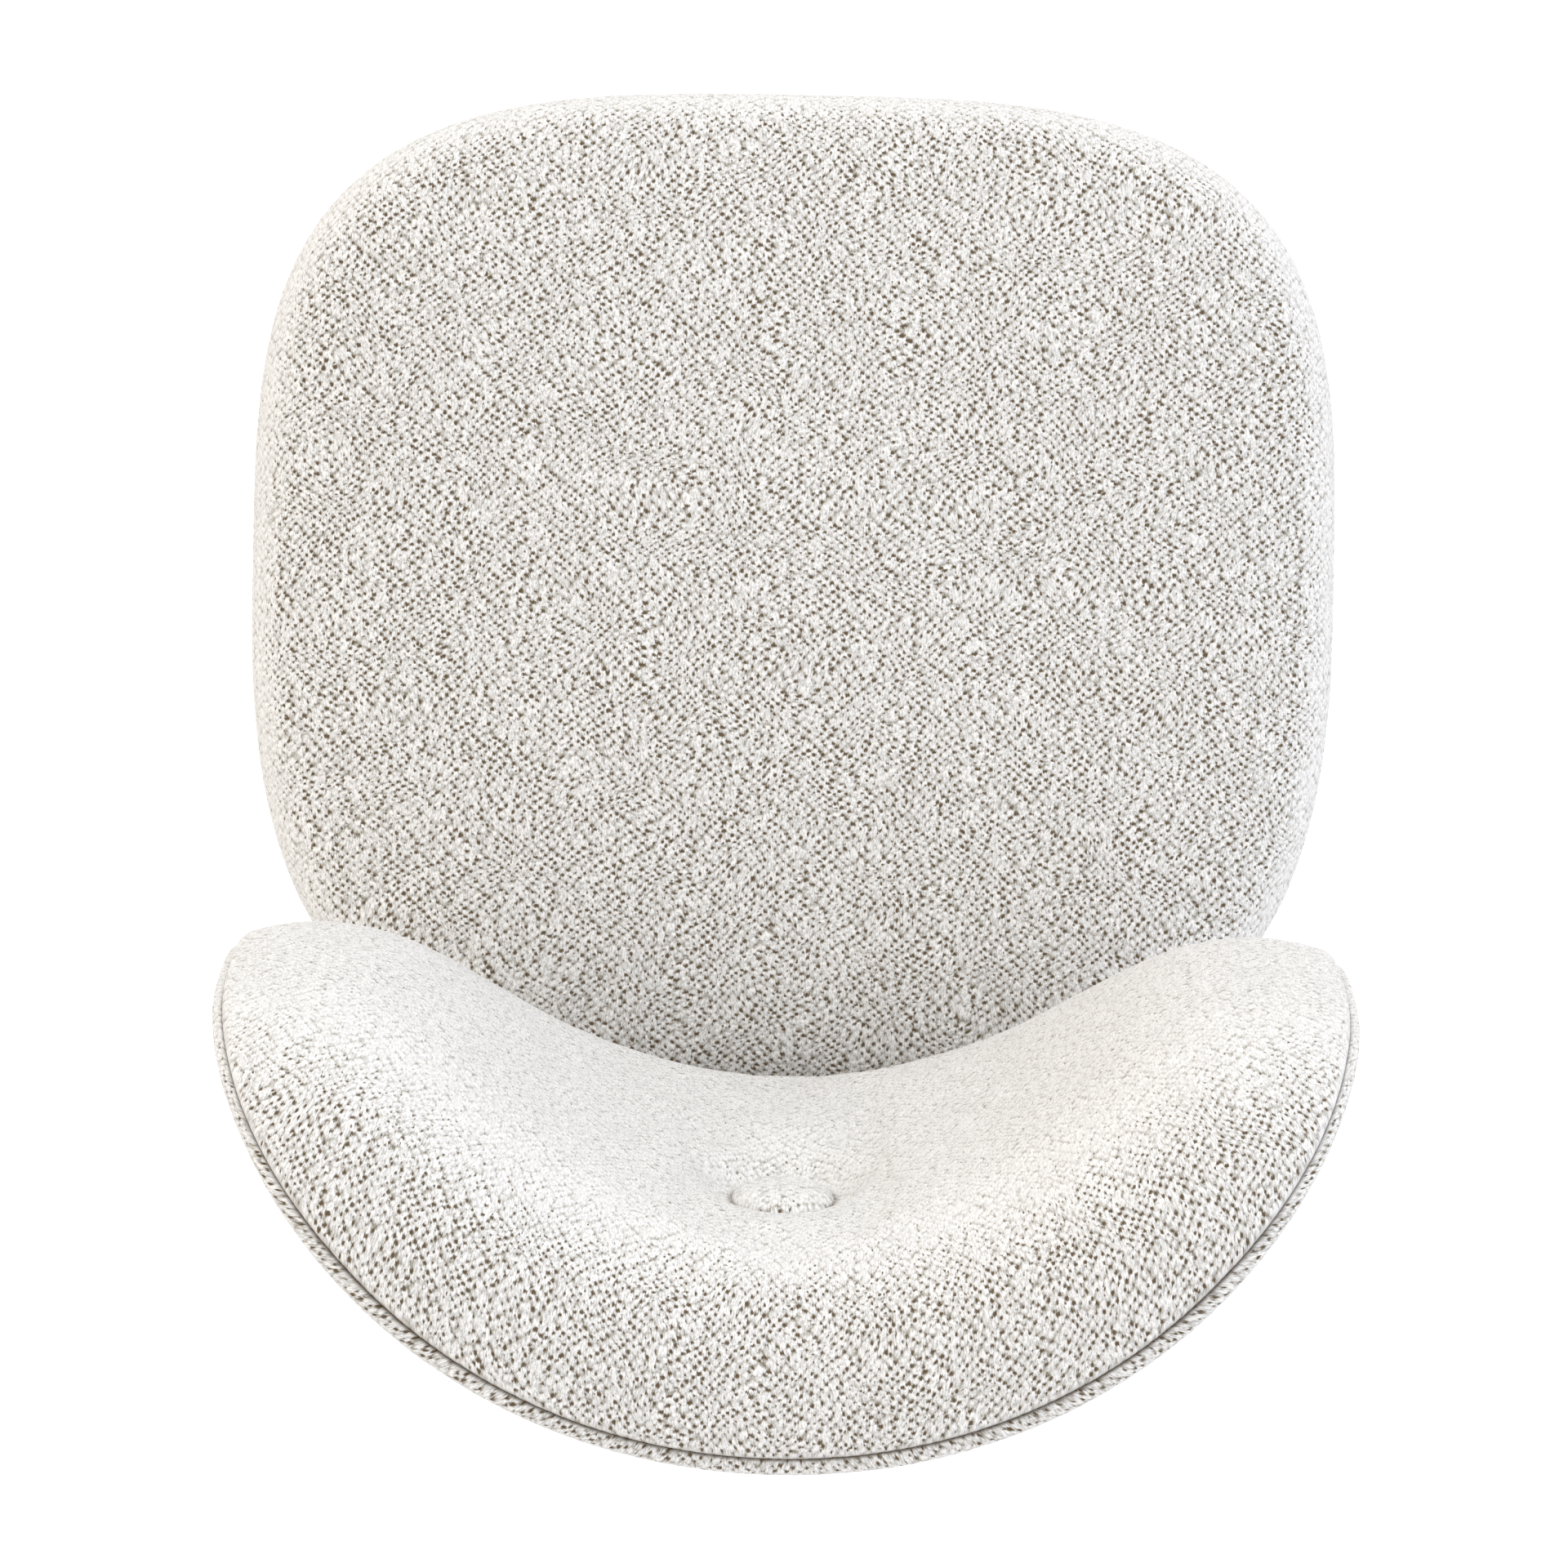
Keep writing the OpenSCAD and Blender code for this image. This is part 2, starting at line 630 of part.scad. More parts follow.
module bracket_nuts() {
    color("silver") back_bolt_places(bracket_r - bracket_t - nut_h - 0.05) difference() {
        cylinder(d = 1.9 * bolt_d, h = nut_h, $fn = 6);
        translate([0, 0, -1]) cylinder(d = bolt_d, h = nut_h + 2);
    }
}

// Dome profile from the rim to the middle, for a button of radius r and height h
function dome(r, h) = [for (i = [0 : 8]) [r * cos(i * 11.25), h * sin(i * 11.25)]];

module button_dome(r, h) {
    rotate_extrude() polygon(concat(dome(r, h), [[0, 0]]));
}

module on_button(r) {
    on_back(0, button_w, r) mirror([0, 0, 1]) children();
}

module button_cap() {
    cap_r = button_d / 2 - fabric_wrap;
    cap_h = button_h - fabric_wrap - 1.8;
    color("silver") on_button(button_rim_r - 1.8) difference() {
        button_dome(cap_r, cap_h);
        translate([0, 0, -0.01]) button_dome(cap_r - cap_t, cap_h - cap_t);
    }
}

module button_cover() {
    rim_h = 1.7;
    color("ivory") on_button(button_rim_r) difference() {
        union() {
            translate([0, 0, rim_h]) button_dome(button_d / 2, button_h - rim_h);
            cylinder(d = button_d, h = rim_h + 0.05);
        }
        translate([0, 0, rim_h]) button_dome(
            button_d / 2 - fabric_wrap + 0.1, button_h - rim_h - fabric_wrap + 0.1
        );
        translate([0, 0, -1]) cylinder(d = button_d * 0.7, h = 4);
    }
}

module button_plug() {
    color("gray") on_button(button_rim_r) {
        difference() {
            cylinder(d = button_d * 0.66, h = 3.6);
            translate([0, 0, -1]) cylinder(d = 4 * eye_r, h = 3);
        }
        translate([0, 0, 0.2]) rotate([90, 0, 0]) rotate_extrude() translate([eye_r, 0]) circle(d = eye_wire);
    }
}

module tufting_twine() {
    far = ply_outer_r + washer_t + 0.1;
    spread = (eye_wire + twine_d) / 2 + 0.1;
    color("beige") on_back(0, button_w, button_rim_r) {
        for (y = [-spread, spread]) translate([0, y, 0]) cylinder(d = twine_d, h = far - button_rim_r);
        cube([twine_d + 0.4, 2 * spread + twine_d, twine_d + 0.4], center = true);
        translate([0, 0, far - button_rim_r - 0.1]) cylinder(d = twine_bore, h = 0.7);
    }
}

module twine_washer() {
    color("silver") on_back(0, button_w, ply_outer_r + 0.05) difference() {
        cylinder(d = 22, h = washer_t);
        translate([0, 0, -1]) cylinder(d = twine_bore - 0.5, h = washer_t + 2);
    }
}

seat_board();
base_tee_nuts();
bracket_tee_nuts();
seat_foam_base();
seat_foam_top();
seat_wadding();
seat_cover();
seat_cover_staples();
seat_dust_cover();
dust_cover_staples();
back_shell();
back_foam();
back_wadding();
back_cover();
back_cover_staples();
tongue_cover();
outer_panel_board();
outer_panel_wadding();
outer_panel_cover();
outer_panel_border();
panel_clips();
left_bracket();
right_bracket();
bracket_seat_bolts();
bracket_back_bolts();
bracket_back_washers();
bracket_nuts();
button_cap();
button_cover();
button_plug();
tufting_twine();
twine_washer();
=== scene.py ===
import math
import bpy
import bmesh
import numpy as np
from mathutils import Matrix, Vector


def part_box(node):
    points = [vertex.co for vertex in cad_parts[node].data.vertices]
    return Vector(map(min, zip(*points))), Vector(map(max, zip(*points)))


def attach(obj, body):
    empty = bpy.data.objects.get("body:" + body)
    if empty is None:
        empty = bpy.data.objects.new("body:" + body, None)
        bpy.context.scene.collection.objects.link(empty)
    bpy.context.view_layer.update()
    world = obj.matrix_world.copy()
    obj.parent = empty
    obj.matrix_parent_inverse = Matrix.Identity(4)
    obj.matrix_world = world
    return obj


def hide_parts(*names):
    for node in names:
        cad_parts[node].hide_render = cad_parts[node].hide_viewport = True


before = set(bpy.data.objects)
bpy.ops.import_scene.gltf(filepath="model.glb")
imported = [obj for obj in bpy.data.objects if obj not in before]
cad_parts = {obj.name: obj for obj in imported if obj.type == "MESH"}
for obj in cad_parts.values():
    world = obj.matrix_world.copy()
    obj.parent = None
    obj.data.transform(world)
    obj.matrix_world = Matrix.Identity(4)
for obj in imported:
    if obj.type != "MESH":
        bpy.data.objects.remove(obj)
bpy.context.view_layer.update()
mm = 0.001


# camera first: straight above the chair, turned so that its front edge comes uppermost
cameraView = {
    "x": 2.6 * mm, "y": 98.8 * mm,     # the point of the seat under the lens
    "height": 2945 * mm,               # above the floor
    "lens": 143.8,
    "roll": 1.0,                       # degrees, the chair stands very slightly turned
}


def makeCamera(view):
    data = bpy.data.cameras.new("overheadCamera")
    data.lens = view["lens"]
    data.sensor_width = 36
    data.clip_end = 20
    camera = bpy.data.objects.new("overheadCamera", data)
    camera.location = (view["x"], view["y"], view["height"])
    camera.rotation_euler = (0, 0, math.pi + math.radians(view["roll"]))
    bpy.context.scene.collection.objects.link(camera)
    bpy.context.scene.camera = camera


makeCamera(cameraView)
print("camera set")


# ---- small helpers

def toLinear(hexColour):
    channels = [int(hexColour[i:i + 2], 16) / 255 for i in (1, 3, 5)]
    return [c / 12.92 if c <= 0.04045 else ((c + 0.055) / 1.055) ** 2.4 for c in channels] + [1]


def addNode(tree, kind, inputs=None, **settings):
    node = tree.nodes.new(kind)
    for name, value in settings.items():
        setattr(node, name, value)
    for name, value in (inputs or {}).items():
        socket = node.inputs[name]
        if isinstance(value, bpy.types.NodeSocket):
            tree.links.new(value, socket)
        else:
            socket.default_value = value
    return node


def startMaterial(name, **shaderValues):
    material = bpy.data.materials.new(name)
    material.use_nodes = True
    tree = material.node_tree
    shader = tree.nodes["Principled BSDF"]
    for socket, value in shaderValues.items():
        shader.inputs[socket.replace("_", " ")].default_value = value
    return material, tree, shader


def rampColours(ramp, stops):
    elements = ramp.color_ramp.elements
    while len(elements) < len(stops):
        elements.new(0.5)
    for element, (place, colour) in zip(elements, stops):
        element.position = place
        element.color = toLinear(colour)


def hashed(i, j, salt):
    # a repeatable number from 0 to 1 for each cell of a lattice
    n = np.sin(i * 127.1 + j * 311.7 + salt * 74.7) * 43758.5453
    return n - np.floor(n)


def smoothNoise(x, y, salt):
    # value noise with one lump a unit
    i, j = np.floor(x), np.floor(y)
    a, b = x - i, y - j
    a, b = a * a * (3 - 2 * a), b * b * (3 - 2 * b)
    low = hashed(i, j, salt) * (1 - a) + hashed(i + 1, j, salt) * a
    high = hashed(i, j + 1, salt) * (1 - a) + hashed(i + 1, j + 1, salt) * a
    return low * (1 - b) + high * b


# ---- looped cloth: every cover is woven from the same yarn

clothYarn = {
    "nubWide": 5.0 * mm, "nubTall": 4.0 * mm,    # repeat of the staggered loops, two loops to a repeat
    "jitter": 0.56,                              # how far a loop strays from its place
    "wander": 2.4 * mm, "wanderLength": 19 * mm,
    "loopHeight": 0.8 * mm,
    "lump": 12 * mm, "lumpHeight": 0.3 * mm,     # slow unevenness of the pile
    # painted shade: the pit colour stands for the shade down in the pits between the loops
    "tops": "#fffefc", "shade": "#d2cfc8", "pit": "#665640",
    "pitSmall": 0.1, "pitLarge": 0.3,            # reach of the smallest and largest pit, in lattice steps
    "looseness": 0.1,                            # how much wider the pits are where the weave opens up
    "strand": 0.95 * mm,                         # width of the short strands that fray the loops
    "slubWide": 3.0 * mm, "slubLong": 7 * mm,
    "slubShare": 0.25,                           # share of the slubs that lie on top of the loops
    "pitsClose": 0.27, "valleysClose": 0.16,     # how far pits and valleys close on steep faces
    "pitFray": 0.7, "valleyFray": 0.5,           # how far the strands reach into pits and valleys
    "steepShade": 0.86,                           # painted shade: colour factor of the steepest faces
}


def wandered(flat, yarn=clothYarn):
    # rows of loops never run quite straight
    length = yarn["wanderLength"]
    x, y = flat[:, 0] / length, flat[:, 1] / length
    shift = np.stack([smoothNoise(x, y, salt) - 0.5 for salt in (5, 9)], 1)
    return flat + shift * yarn["wander"] * 2


def pileHeight(uv, yarn=clothYarn):
    # 0 in the pits between loops, 1 on top of the tallest loop
    a = uv[:, 0] / yarn["nubWide"] + uv[:, 1] / yarn["nubTall"]
    b = uv[:, 0] / yarn["nubWide"] - uv[:, 1] / yarn["nubTall"]
    nearest = np.full(len(a), 9.0)
    for di in (-1, 0, 1, 2):
        for dj in (-1, 0, 1, 2):
            i, j = np.floor(a) + di, np.floor(b) + dj
            strayA = yarn["jitter"] * (0.5 + 0.5 * (hashed(i, j, 1) - 0.5))
            strayB = yarn["jitter"] * (0.5 + 0.5 * (hashed(i, j, 2) - 0.5))
            nearest = np.minimum(nearest, np.hypot(a - i - strayA, b - j - strayB))
    return np.sqrt(np.clip(1 - (nearest / 0.72) ** 2, 0, 1))


def mathNode(tree, operation, *values, clamp=False):
    node = addNode(tree, "ShaderNodeMath", dict(enumerate(values)), operation=operation, use_clamp=clamp)
    return node.outputs[0]


def makeLoopedCloth(yarn=clothYarn):
    # wool and acrylic boucle: matt and soft; the shade down in the pits between its loops is painted into its
    # colour
    material, tree, shader = startMaterial(
        "offWhiteBoucle", Roughness=0.95, Sheen_Weight=0.04, Sheen_Roughness=0.5, Specular_IOR_Level=0.08)
    place = addNode(tree, "ShaderNodeUVMap", uv_map="cloth").outputs["UV"]
    split = addNode(tree, "ShaderNodeSeparateXYZ", {0: place})
    x = mathNode(tree, "DIVIDE", split.outputs["X"], yarn["nubWide"])
    y = mathNode(tree, "DIVIDE", split.outputs["Y"], yarn["nubTall"])
    lattice = addNode(tree, "ShaderNodeCombineXYZ", {
        "X": mathNode(tree, "ADD", x, y), "Y": mathNode(tree, "SUBTRACT", x, y)}).outputs[0]
    # short strands in two directions that fray every loop
    strands = []
    for turn, squeeze in ((0.55, 0.38), (-0.8, 0.5)):
        laid = addNode(tree, "ShaderNodeMapping", {
            "Vector": place, "Rotation": (0, 0, turn), "Scale": (1, squeeze, 1)})
        strands.append(addNode(tree, "ShaderNodeTexNoise", {
            "Vector": laid.outputs[0], "Scale": 1 / yarn["strand"], "Detail": 2.0, "Roughness": 0.7},
            noise_dimensions="2D").outputs["Fac"])
    strand = mathNode(tree, "MAXIMUM", *strands)
    fray = mathNode(tree, "SUBTRACT", strand, 0.57)
    loops = addNode(tree, "ShaderNodeTexVoronoi", {
        "Vector": lattice, "Scale": 1.0, "Randomness": yarn["jitter"]},
        voronoi_dimensions="2D", feature="F1")
    shifted = addNode(tree, "ShaderNodeVectorMath", {0: lattice, 1: (0.5, 0.5, 0)}, operation="ADD")
    pits = addNode(tree, "ShaderNodeTexVoronoi", {
        "Vector": shifted.outputs[0], "Scale": 1.0, "Randomness": yarn["jitter"]},
        voronoi_dimensions="2D", feature="F1")
    pitKind = addNode(tree, "ShaderNodeSeparateColor", {0: pits.outputs["Color"]})
    # long slubs lie over the loops and hide the pits below them
    slubPlace = addNode(tree, "ShaderNodeMapping", {
        "Vector": place, "Rotation": (0, 0, 0.35), "Scale": (1 / yarn["slubWide"], 1 / yarn["slubLong"], 1)})
    slubs = addNode(tree, "ShaderNodeTexVoronoi", {
        "Vector": slubPlace.outputs[0], "Scale": 1.0, "Randomness": 1.0},
        voronoi_dimensions="2D", feature="F1")
    slubKind = addNode(tree, "ShaderNodeSeparateColor", {0: slubs.outputs["Color"]})
    isSlub = mathNode(tree, "GREATER_THAN", slubKind.outputs[0], 1 - yarn["slubShare"])
    slubBody = mathNode(tree, "SUBTRACT", 0.5, slubs.outputs["Distance"], clamp=True)
    cover = mathNode(tree, "MULTIPLY", isSlub, slubBody)
    lumps = addNode(tree, "ShaderNodeAttribute", attribute_name="lumps").outputs["Fac"]
    # painted shade in the groove and crevices, carried as a point attribute
    creviceShade = addNode(tree, "ShaderNodeAttribute", attribute_name="creviceShade").outputs["Fac"]
    # on steep faces the loops hang down over the pits and close them, so the painted pit and valley shade is
    # weaker there
    slant = addNode(tree, "ShaderNodeAttribute", attribute_name="steepness").outputs["Fac"]
    closed = addNode(tree, "ShaderNodeMapRange", {
        "Value": slant, "From Min": 0.1, "From Max": 0.5, "To Min": 0.0, "To Max": 1.0}).outputs[0]
    reach = addNode(tree, "ShaderNodeMapRange", {
        "Value": pitKind.outputs[0], "To Min": yarn["pitSmall"], "To Max": yarn["pitLarge"]}).outputs[0]
    opened = mathNode(tree, "MULTIPLY", mathNode(tree, "SUBTRACT", lumps, 0.5), yarn["looseness"])
    reach = mathNode(tree, "ADD", reach, opened)
    hidden = mathNode(tree, "ADD", cover, mathNode(tree, "MULTIPLY", closed, yarn["pitsClose"]))
    reach = mathNode(tree, "SUBTRACT", reach, hidden)
    reach = mathNode(tree, "ADD", reach, mathNode(tree, "MULTIPLY", fray, -yarn["pitFray"]))
    # painted shade: how far each pit is coloured dark
    depth = mathNode(tree, "SUBTRACT", reach, pits.outputs["Distance"])
    inPit = addNode(tree, "ShaderNodeMapRange", {
        "Value": depth, "From Min": -0.12, "From Max": 0.16}, interpolation_type="SMOOTHSTEP").outputs[0]
    # between neighbouring loops the yarn turns down into shade
    frayed = mathNode(tree, "MULTIPLY", fray, -yarn["valleyFray"])
    valley = mathNode(tree, "ADD", loops.outputs["Distance"], frayed)
    hidden = mathNode(tree, "ADD", cover, mathNode(tree, "MULTIPLY", closed, yarn["valleysClose"]))
    valley = mathNode(tree, "SUBTRACT", valley, hidden)
    colour = addNode(tree, "ShaderNodeValToRGB", {"Fac": valley})
    rampColours(colour, [(0.2, yarn["tops"]), (0.42, "#efedea"), (0.62, yarn["shade"]), (0.8, "#a8a193")])
    kind = addNode(tree, "ShaderNodeSeparateColor", {0: loops.outputs["Color"]})
    bright = addNode(tree, "ShaderNodeMapRange", {"Value": kind.outputs[0], "To Min": 0.92, "To Max": 1.0})
    rough = mathNode(tree, "ADD", 0.66, mathNode(tree, "MULTIPLY", closed, 0.14))
    fine = addNode(tree, "ShaderNodeMapRange", {
        "Value": strand, "From Min": 0.46, "From Max": 0.62, "To Min": rough, "To Max": 1.0})
    tone = mathNode(tree, "MULTIPLY", bright.outputs[0], fine.outputs[0])
    # painted shade: steeper faces are coloured darker
    steepShading = addNode(tree, "ShaderNodeMapRange", {
        "Value": slant, "From Min": 0.15, "From Max": 0.68, "To Min": 1.0, "To Max": yarn["steepShade"]})
    tone = mathNode(tree, "MULTIPLY", tone, steepShading.outputs[0])
    mixed = addNode(tree, "ShaderNodeMix", {"Factor": 1.0}, data_type="RGBA", blend_type="MULTIPLY")
    tree.links.new(colour.outputs["Color"], mixed.inputs[6])
    tree.links.new(tone, mixed.inputs[7])
    ragged = mathNode(tree, "ADD", 0.85, mathNode(tree, "MULTIPLY", fray, 2.0))
    # painted shade: the pits and the crevices are mixed toward the dark pit colour
    dark = mathNode(tree, "MAXIMUM", inPit, mathNode(tree, "MULTIPLY", creviceShade, ragged, clamp=True))
    pitted = addNode(tree, "ShaderNodeMix", {"Factor": dark}, data_type="RGBA")
    tree.links.new(mixed.outputs[2], pitted.inputs[6])
    pitted.inputs[7].default_value = toLinear(yarn["pit"])
    tree.links.new(pitted.outputs[2], shader.inputs["Base Color"])
    depth = mathNode(tree, "ADD", valley, mathNode(tree, "MULTIPLY", inPit, 0.5))
    height = mathNode(tree, "SUBTRACT", 1.0, depth)
    bump = addNode(tree, "ShaderNodeBump", {"Height": height, "Strength": 0.7, "Distance": 0.9 * mm})
    tree.links.new(bump.outputs["Normal"], shader.inputs["Normal"])
    return material


boucle = makeLoopedCloth()


# ---- pads: a grid wrapped over a profile, then rings that carry the profile on round the edge

def profileTable(path, reach):
    # path is a list of (scale, inset, height); reach is the mean half size that scale 1 stands for
    table = np.array(path, float)
    step = np.diff(table, axis=0)
    lengths = np.hypot(reach * step[:, 0] - step[:, 1], step[:, 2])
    return table, np.concatenate([[0], np.cumsum(lengths)])


def along(table, lengths, s):
    return [np.interp(s, lengths, table[:, k]) for k in range(3)]


def wrapPad(name, cells, gridLength, rings):
    # a square grid, then rings extruded from its edge; each vertex keeps its u, v and profile length
    bm = bmesh.new()
    bmesh.ops.create_grid(bm, x_segments=cells[0], y_segments=cells[1], size=1.0)
    uLayer = bm.verts.layers.float.new("gridU")
    vLayer = bm.verts.layers.float.new("gridV")
    sLayer = bm.verts.layers.float.new("profile")
    for vert in bm.verts:
        vert[uLayer] = vert.co.x
        vert[vLayer] = vert.co.y
        vert[sLayer] = max(abs(vert.co.x), abs(vert.co.y)) * gridLength
    edges = [e for e in bm.edges if e.is_boundary]
    for length in rings:
        grown = bmesh.ops.extrude_edge_only(bm, edges=edges)["geom"]
        for item in grown:
            if isinstance(item, bmesh.types.BMVert):
                item[sLayer] = length
        edges = [item for item in grown if isinstance(item, bmesh.types.BMEdge) and item.is_boundary]
    bmesh.ops.triangle_fill(bm, edges=edges, use_beauty=True)
    mesh = bpy.data.meshes.new(name)
    bm.to_mesh(mesh)
    bm.free()
    count = len(mesh.vertices)
    read = {}
    for layer in ("gridU", "gridV", "profile"):
        values = np.empty(count, np.float32)
        mesh.attributes[layer].data.foreach_get("value", values)
        read[layer] = values.astype(float)
    return mesh, read["gridU"], read["gridV"], read["profile"]


clothSettings = {
    "frames": 20, "quality": 6, "mass": 0.35,
    "stretch": 25, "shear": 8, "bend": 2.0,
}


def simulateCover(name, cells, gridLength, place, held, pressure, cap):
    # the cover as real cloth over a pressurised pad; returns how far each point of a coarse grid moved
    mesh, u, v, s = wrapPad(name, (cells, cells), gridLength, [])
    rest = place(u, v, s)
    mesh.vertices.foreach_set("co", rest.astype(np.float32).ravel())
    bm = bmesh.new()
    bm.from_mesh(mesh)
    bmesh.ops.recalc_face_normals(bm, faces=bm.faces)
    bm.to_mesh(mesh)
    bm.free()
    pad = bpy.data.objects.new(name, mesh)
    bpy.context.scene.collection.objects.link(pad)
    group = pad.vertex_groups.new(name="held")
    for index, weight in enumerate(held(u, v, s)):
        group.add([index], float(weight), "REPLACE")
    cloth = pad.modifiers.new("cover", "CLOTH")
    settings = cloth.settings
    settings.quality = clothSettings["quality"]
    settings.mass = clothSettings["mass"]
    settings.tension_stiffness = clothSettings["stretch"]
    settings.compression_stiffness = clothSettings["stretch"]
    settings.shear_stiffness = clothSettings["shear"]
    settings.bending_stiffness = clothSettings["bend"]
    settings.use_pressure = True
    settings.uniform_pressure_force = pressure
    settings.vertex_group_mass = "held"
    settings.effector_weights.gravity = 0
    cloth.point_cache.frame_start = 1
    cloth.point_cache.frame_end = clothSettings["frames"]
    scene = bpy.context.scene
    for frameNumber in range(1, clothSettings["frames"] + 1):
        scene.frame_set(frameNumber)
    settled = pad.evaluated_get(bpy.context.evaluated_depsgraph_get()).to_mesh()
    after = np.empty(len(mesh.vertices) * 3, np.float32)
    settled.vertices.foreach_get("co", after)
    moved = after.reshape(-1, 3).astype(float) - rest
    scene.frame_set(1)
    bpy.data.objects.remove(pad)
    size = np.maximum(np.linalg.norm(moved, axis=1), 1e-9)
    moved *= (cap * np.tanh(size / cap) / size)[:, None]
    order = np.lexsort((u, v))
    print(name, "simulated, moved up to %.1f mm" % (1000 * np.linalg.norm(moved, axis=1).max()))
    return moved[order].reshape(cells + 1, cells + 1, 3)


def readGrid(moved, u, v):
    # smooth reading between the points of the coarse grid
    last = len(moved) - 1
    x, y = (u + 1) / 2 * last, (v + 1) / 2 * last
    i = np.clip(np.floor(x), 0, last - 1).astype(int)
    j = np.clip(np.floor(y), 0, last - 1).astype(int)

    def weights(t):
        return [((2 - t) * t - 1) * t / 2, ((3 * t - 5) * t * t + 2) / 2,
                ((4 - 3 * t) * t + 1) * t / 2, (t - 1) * t * t / 2]

    found = np.zeros((len(u), 3))
    for dj, wy in zip((-1, 0, 1, 2), weights(y - j)):
        for di, wx in zip((-1, 0, 1, 2), weights(x - i)):
            found += moved[np.clip(j + dj, 0, last), np.clip(i + di, 0, last)] * (wx * wy)[:, None]
    return found


def finishPad(mesh, name, points, uv, material, amount=1.0, mask=None, creviceShade=None):
    uv = wandered(uv)
    mesh.vertices.foreach_set("co", points.astype(np.float32).ravel())
    mesh.update()
    layer = mesh.uv_layers.new(name="cloth")
    corners = np.empty(len(mesh.loops), np.int32)
    mesh.loops.foreach_get("vertex_index", corners)
    layer.data.foreach_set("uv", uv[corners].astype(np.float32).ravel())
    bm = bmesh.new()
    bm.from_mesh(mesh)
    bmesh.ops.recalc_face_normals(bm, faces=bm.faces)
    bm.to_mesh(mesh)
    bm.free()
    if amount:
        pile = pileHeight(uv)
        lump = clothYarn["lump"]
        lumps = smoothNoise(uv[:, 0] / lump, uv[:, 1] / lump, 21)
        lumps = 0.6 * lumps + 0.4 * smoothNoise(uv[:, 0] * 2.3 / lump, uv[:, 1] * 2.3 / lump, 23)
        normals = np.empty(len(mesh.vertices) * 3, np.float32)
        mesh.vertices.foreach_get("normal", normals)
        steepness = 1 - np.abs(normals[2::3])
        for label, values in (("lumps", lumps), ("creviceShade", creviceShade), ("steepness", steepness)):
            if values is not None:
                attribute = mesh.attributes.new(label, "FLOAT", "POINT")
                attribute.data.foreach_set("value", values.astype(np.float32))
        rise = (pile - 0.7) * clothYarn["loopHeight"] + (lumps - 0.5) * clothYarn["lumpHeight"]
        if mask is not None:
            rise = rise * mask
        moved = points + normals.reshape(-1, 3) * (rise * amount)[:, None]
        mesh.vertices.foreach_set("co", moved.astype(np.float32).ravel())
    for layer in ("gridU", "gridV", "profile"):
        mesh.attributes.remove(mesh.attributes[layer])
    mesh.update()
    mesh.shade_smooth()
    piece = bpy.data.objects.new(name, mesh)
    bpy.context.scene.collection.objects.link(piece)
    mesh.materials.append(material)
    return piece


def superReach(c, s, power):
    return (np.abs(c) ** power + np.abs(s) ** power) ** (-1 / power)


# ---- seat pad

seatLow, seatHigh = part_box("seat_cover")
boardLow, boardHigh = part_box("seat_board")
seatPad = {
    "cells": 430,                    # grid cells across the top
    "widest": 46 * mm, "edgeRise": 38 * mm, "edgeRun": 42 * mm, "crown": 10 * mm,
    "footIn": 15 * mm, "hem": 36 * mm, "cloth": 2.4 * mm,
    "frontPower": 3.35, "rearPower": 2.9,
    "reach": 190 * mm,               # mean half size of the flat top
    "topSteps": 30, "edgeSteps": 15,   # points of the profile over the top and round its edge
    "simCells": 64, "pressure": 4.0, "cap": 4 * mm,
}


def seatPlace(u, v, table, lengths, s):
    scale, inset, z = along(table, lengths, s)
    angle = np.arctan2(v, u)
    c, sn = np.cos(angle), np.sin(angle)
    power = np.where(sn > 0, seatPad["rearPower"], seatPad["frontPower"])
    k = superReach(c, sn, power)
    halfX = seatHigh[0] - inset
    halfY = np.where(sn > 0, seatHigh[1], -seatLow[1]) - inset
    x, y = halfX * c * k * scale, halfY * sn * k * scale
    return np.stack([x, y, z], 1)


def seatCloth(u, v, table, lengths, s):
    # flat places on the top, then outwards by the length of cloth down the side
    edge = seatPlace(u, v, table, lengths, np.minimum(s, seatPad["flatLength"]))
    out = np.maximum(s - seatPad["flatLength"], 0)
    angle = np.arctan2(edge[:, 1], edge[:, 0])
    return edge[:, :2] + np.stack([np.cos(angle), np.sin(angle)], 1) * out[:, None]


def seatProfile(inset):
    # from the middle of the top, over the edge and under the board; inset moves it inwards
    p = seatPad
    edgeZ = p["widest"] + p["edgeRise"]
    path = [(f, p["edgeRun"], edgeZ + p["crown"] * (1 - f * f) - inset)
            for f in np.linspace(0, 1, p["topSteps"])]
    for a in np.radians(np.linspace(84, 0, p["edgeSteps"])):
        path.append((1, p["edgeRun"] - (p["edgeRun"] - inset) * math.cos(a),
                     p["widest"] + (p["edgeRise"] - inset) * math.sin(a)))
    return path


def lowerSide(inset, lowest):
    # the side below the widest line, a soft curve in to the bottom edge
    p = seatPad
    path = []
    bend = math.radians(76)
    fall = p["widest"] - lowest - 3 * mm
    for k in np.linspace(0.08, 1, 14):
        a = k * bend
        path.append((1, inset + p["footIn"] * (1 - math.cos(a)) / (1 - math.cos(bend)),
                     p["widest"] - fall * math.sin(a) / math.sin(bend)))
    return path


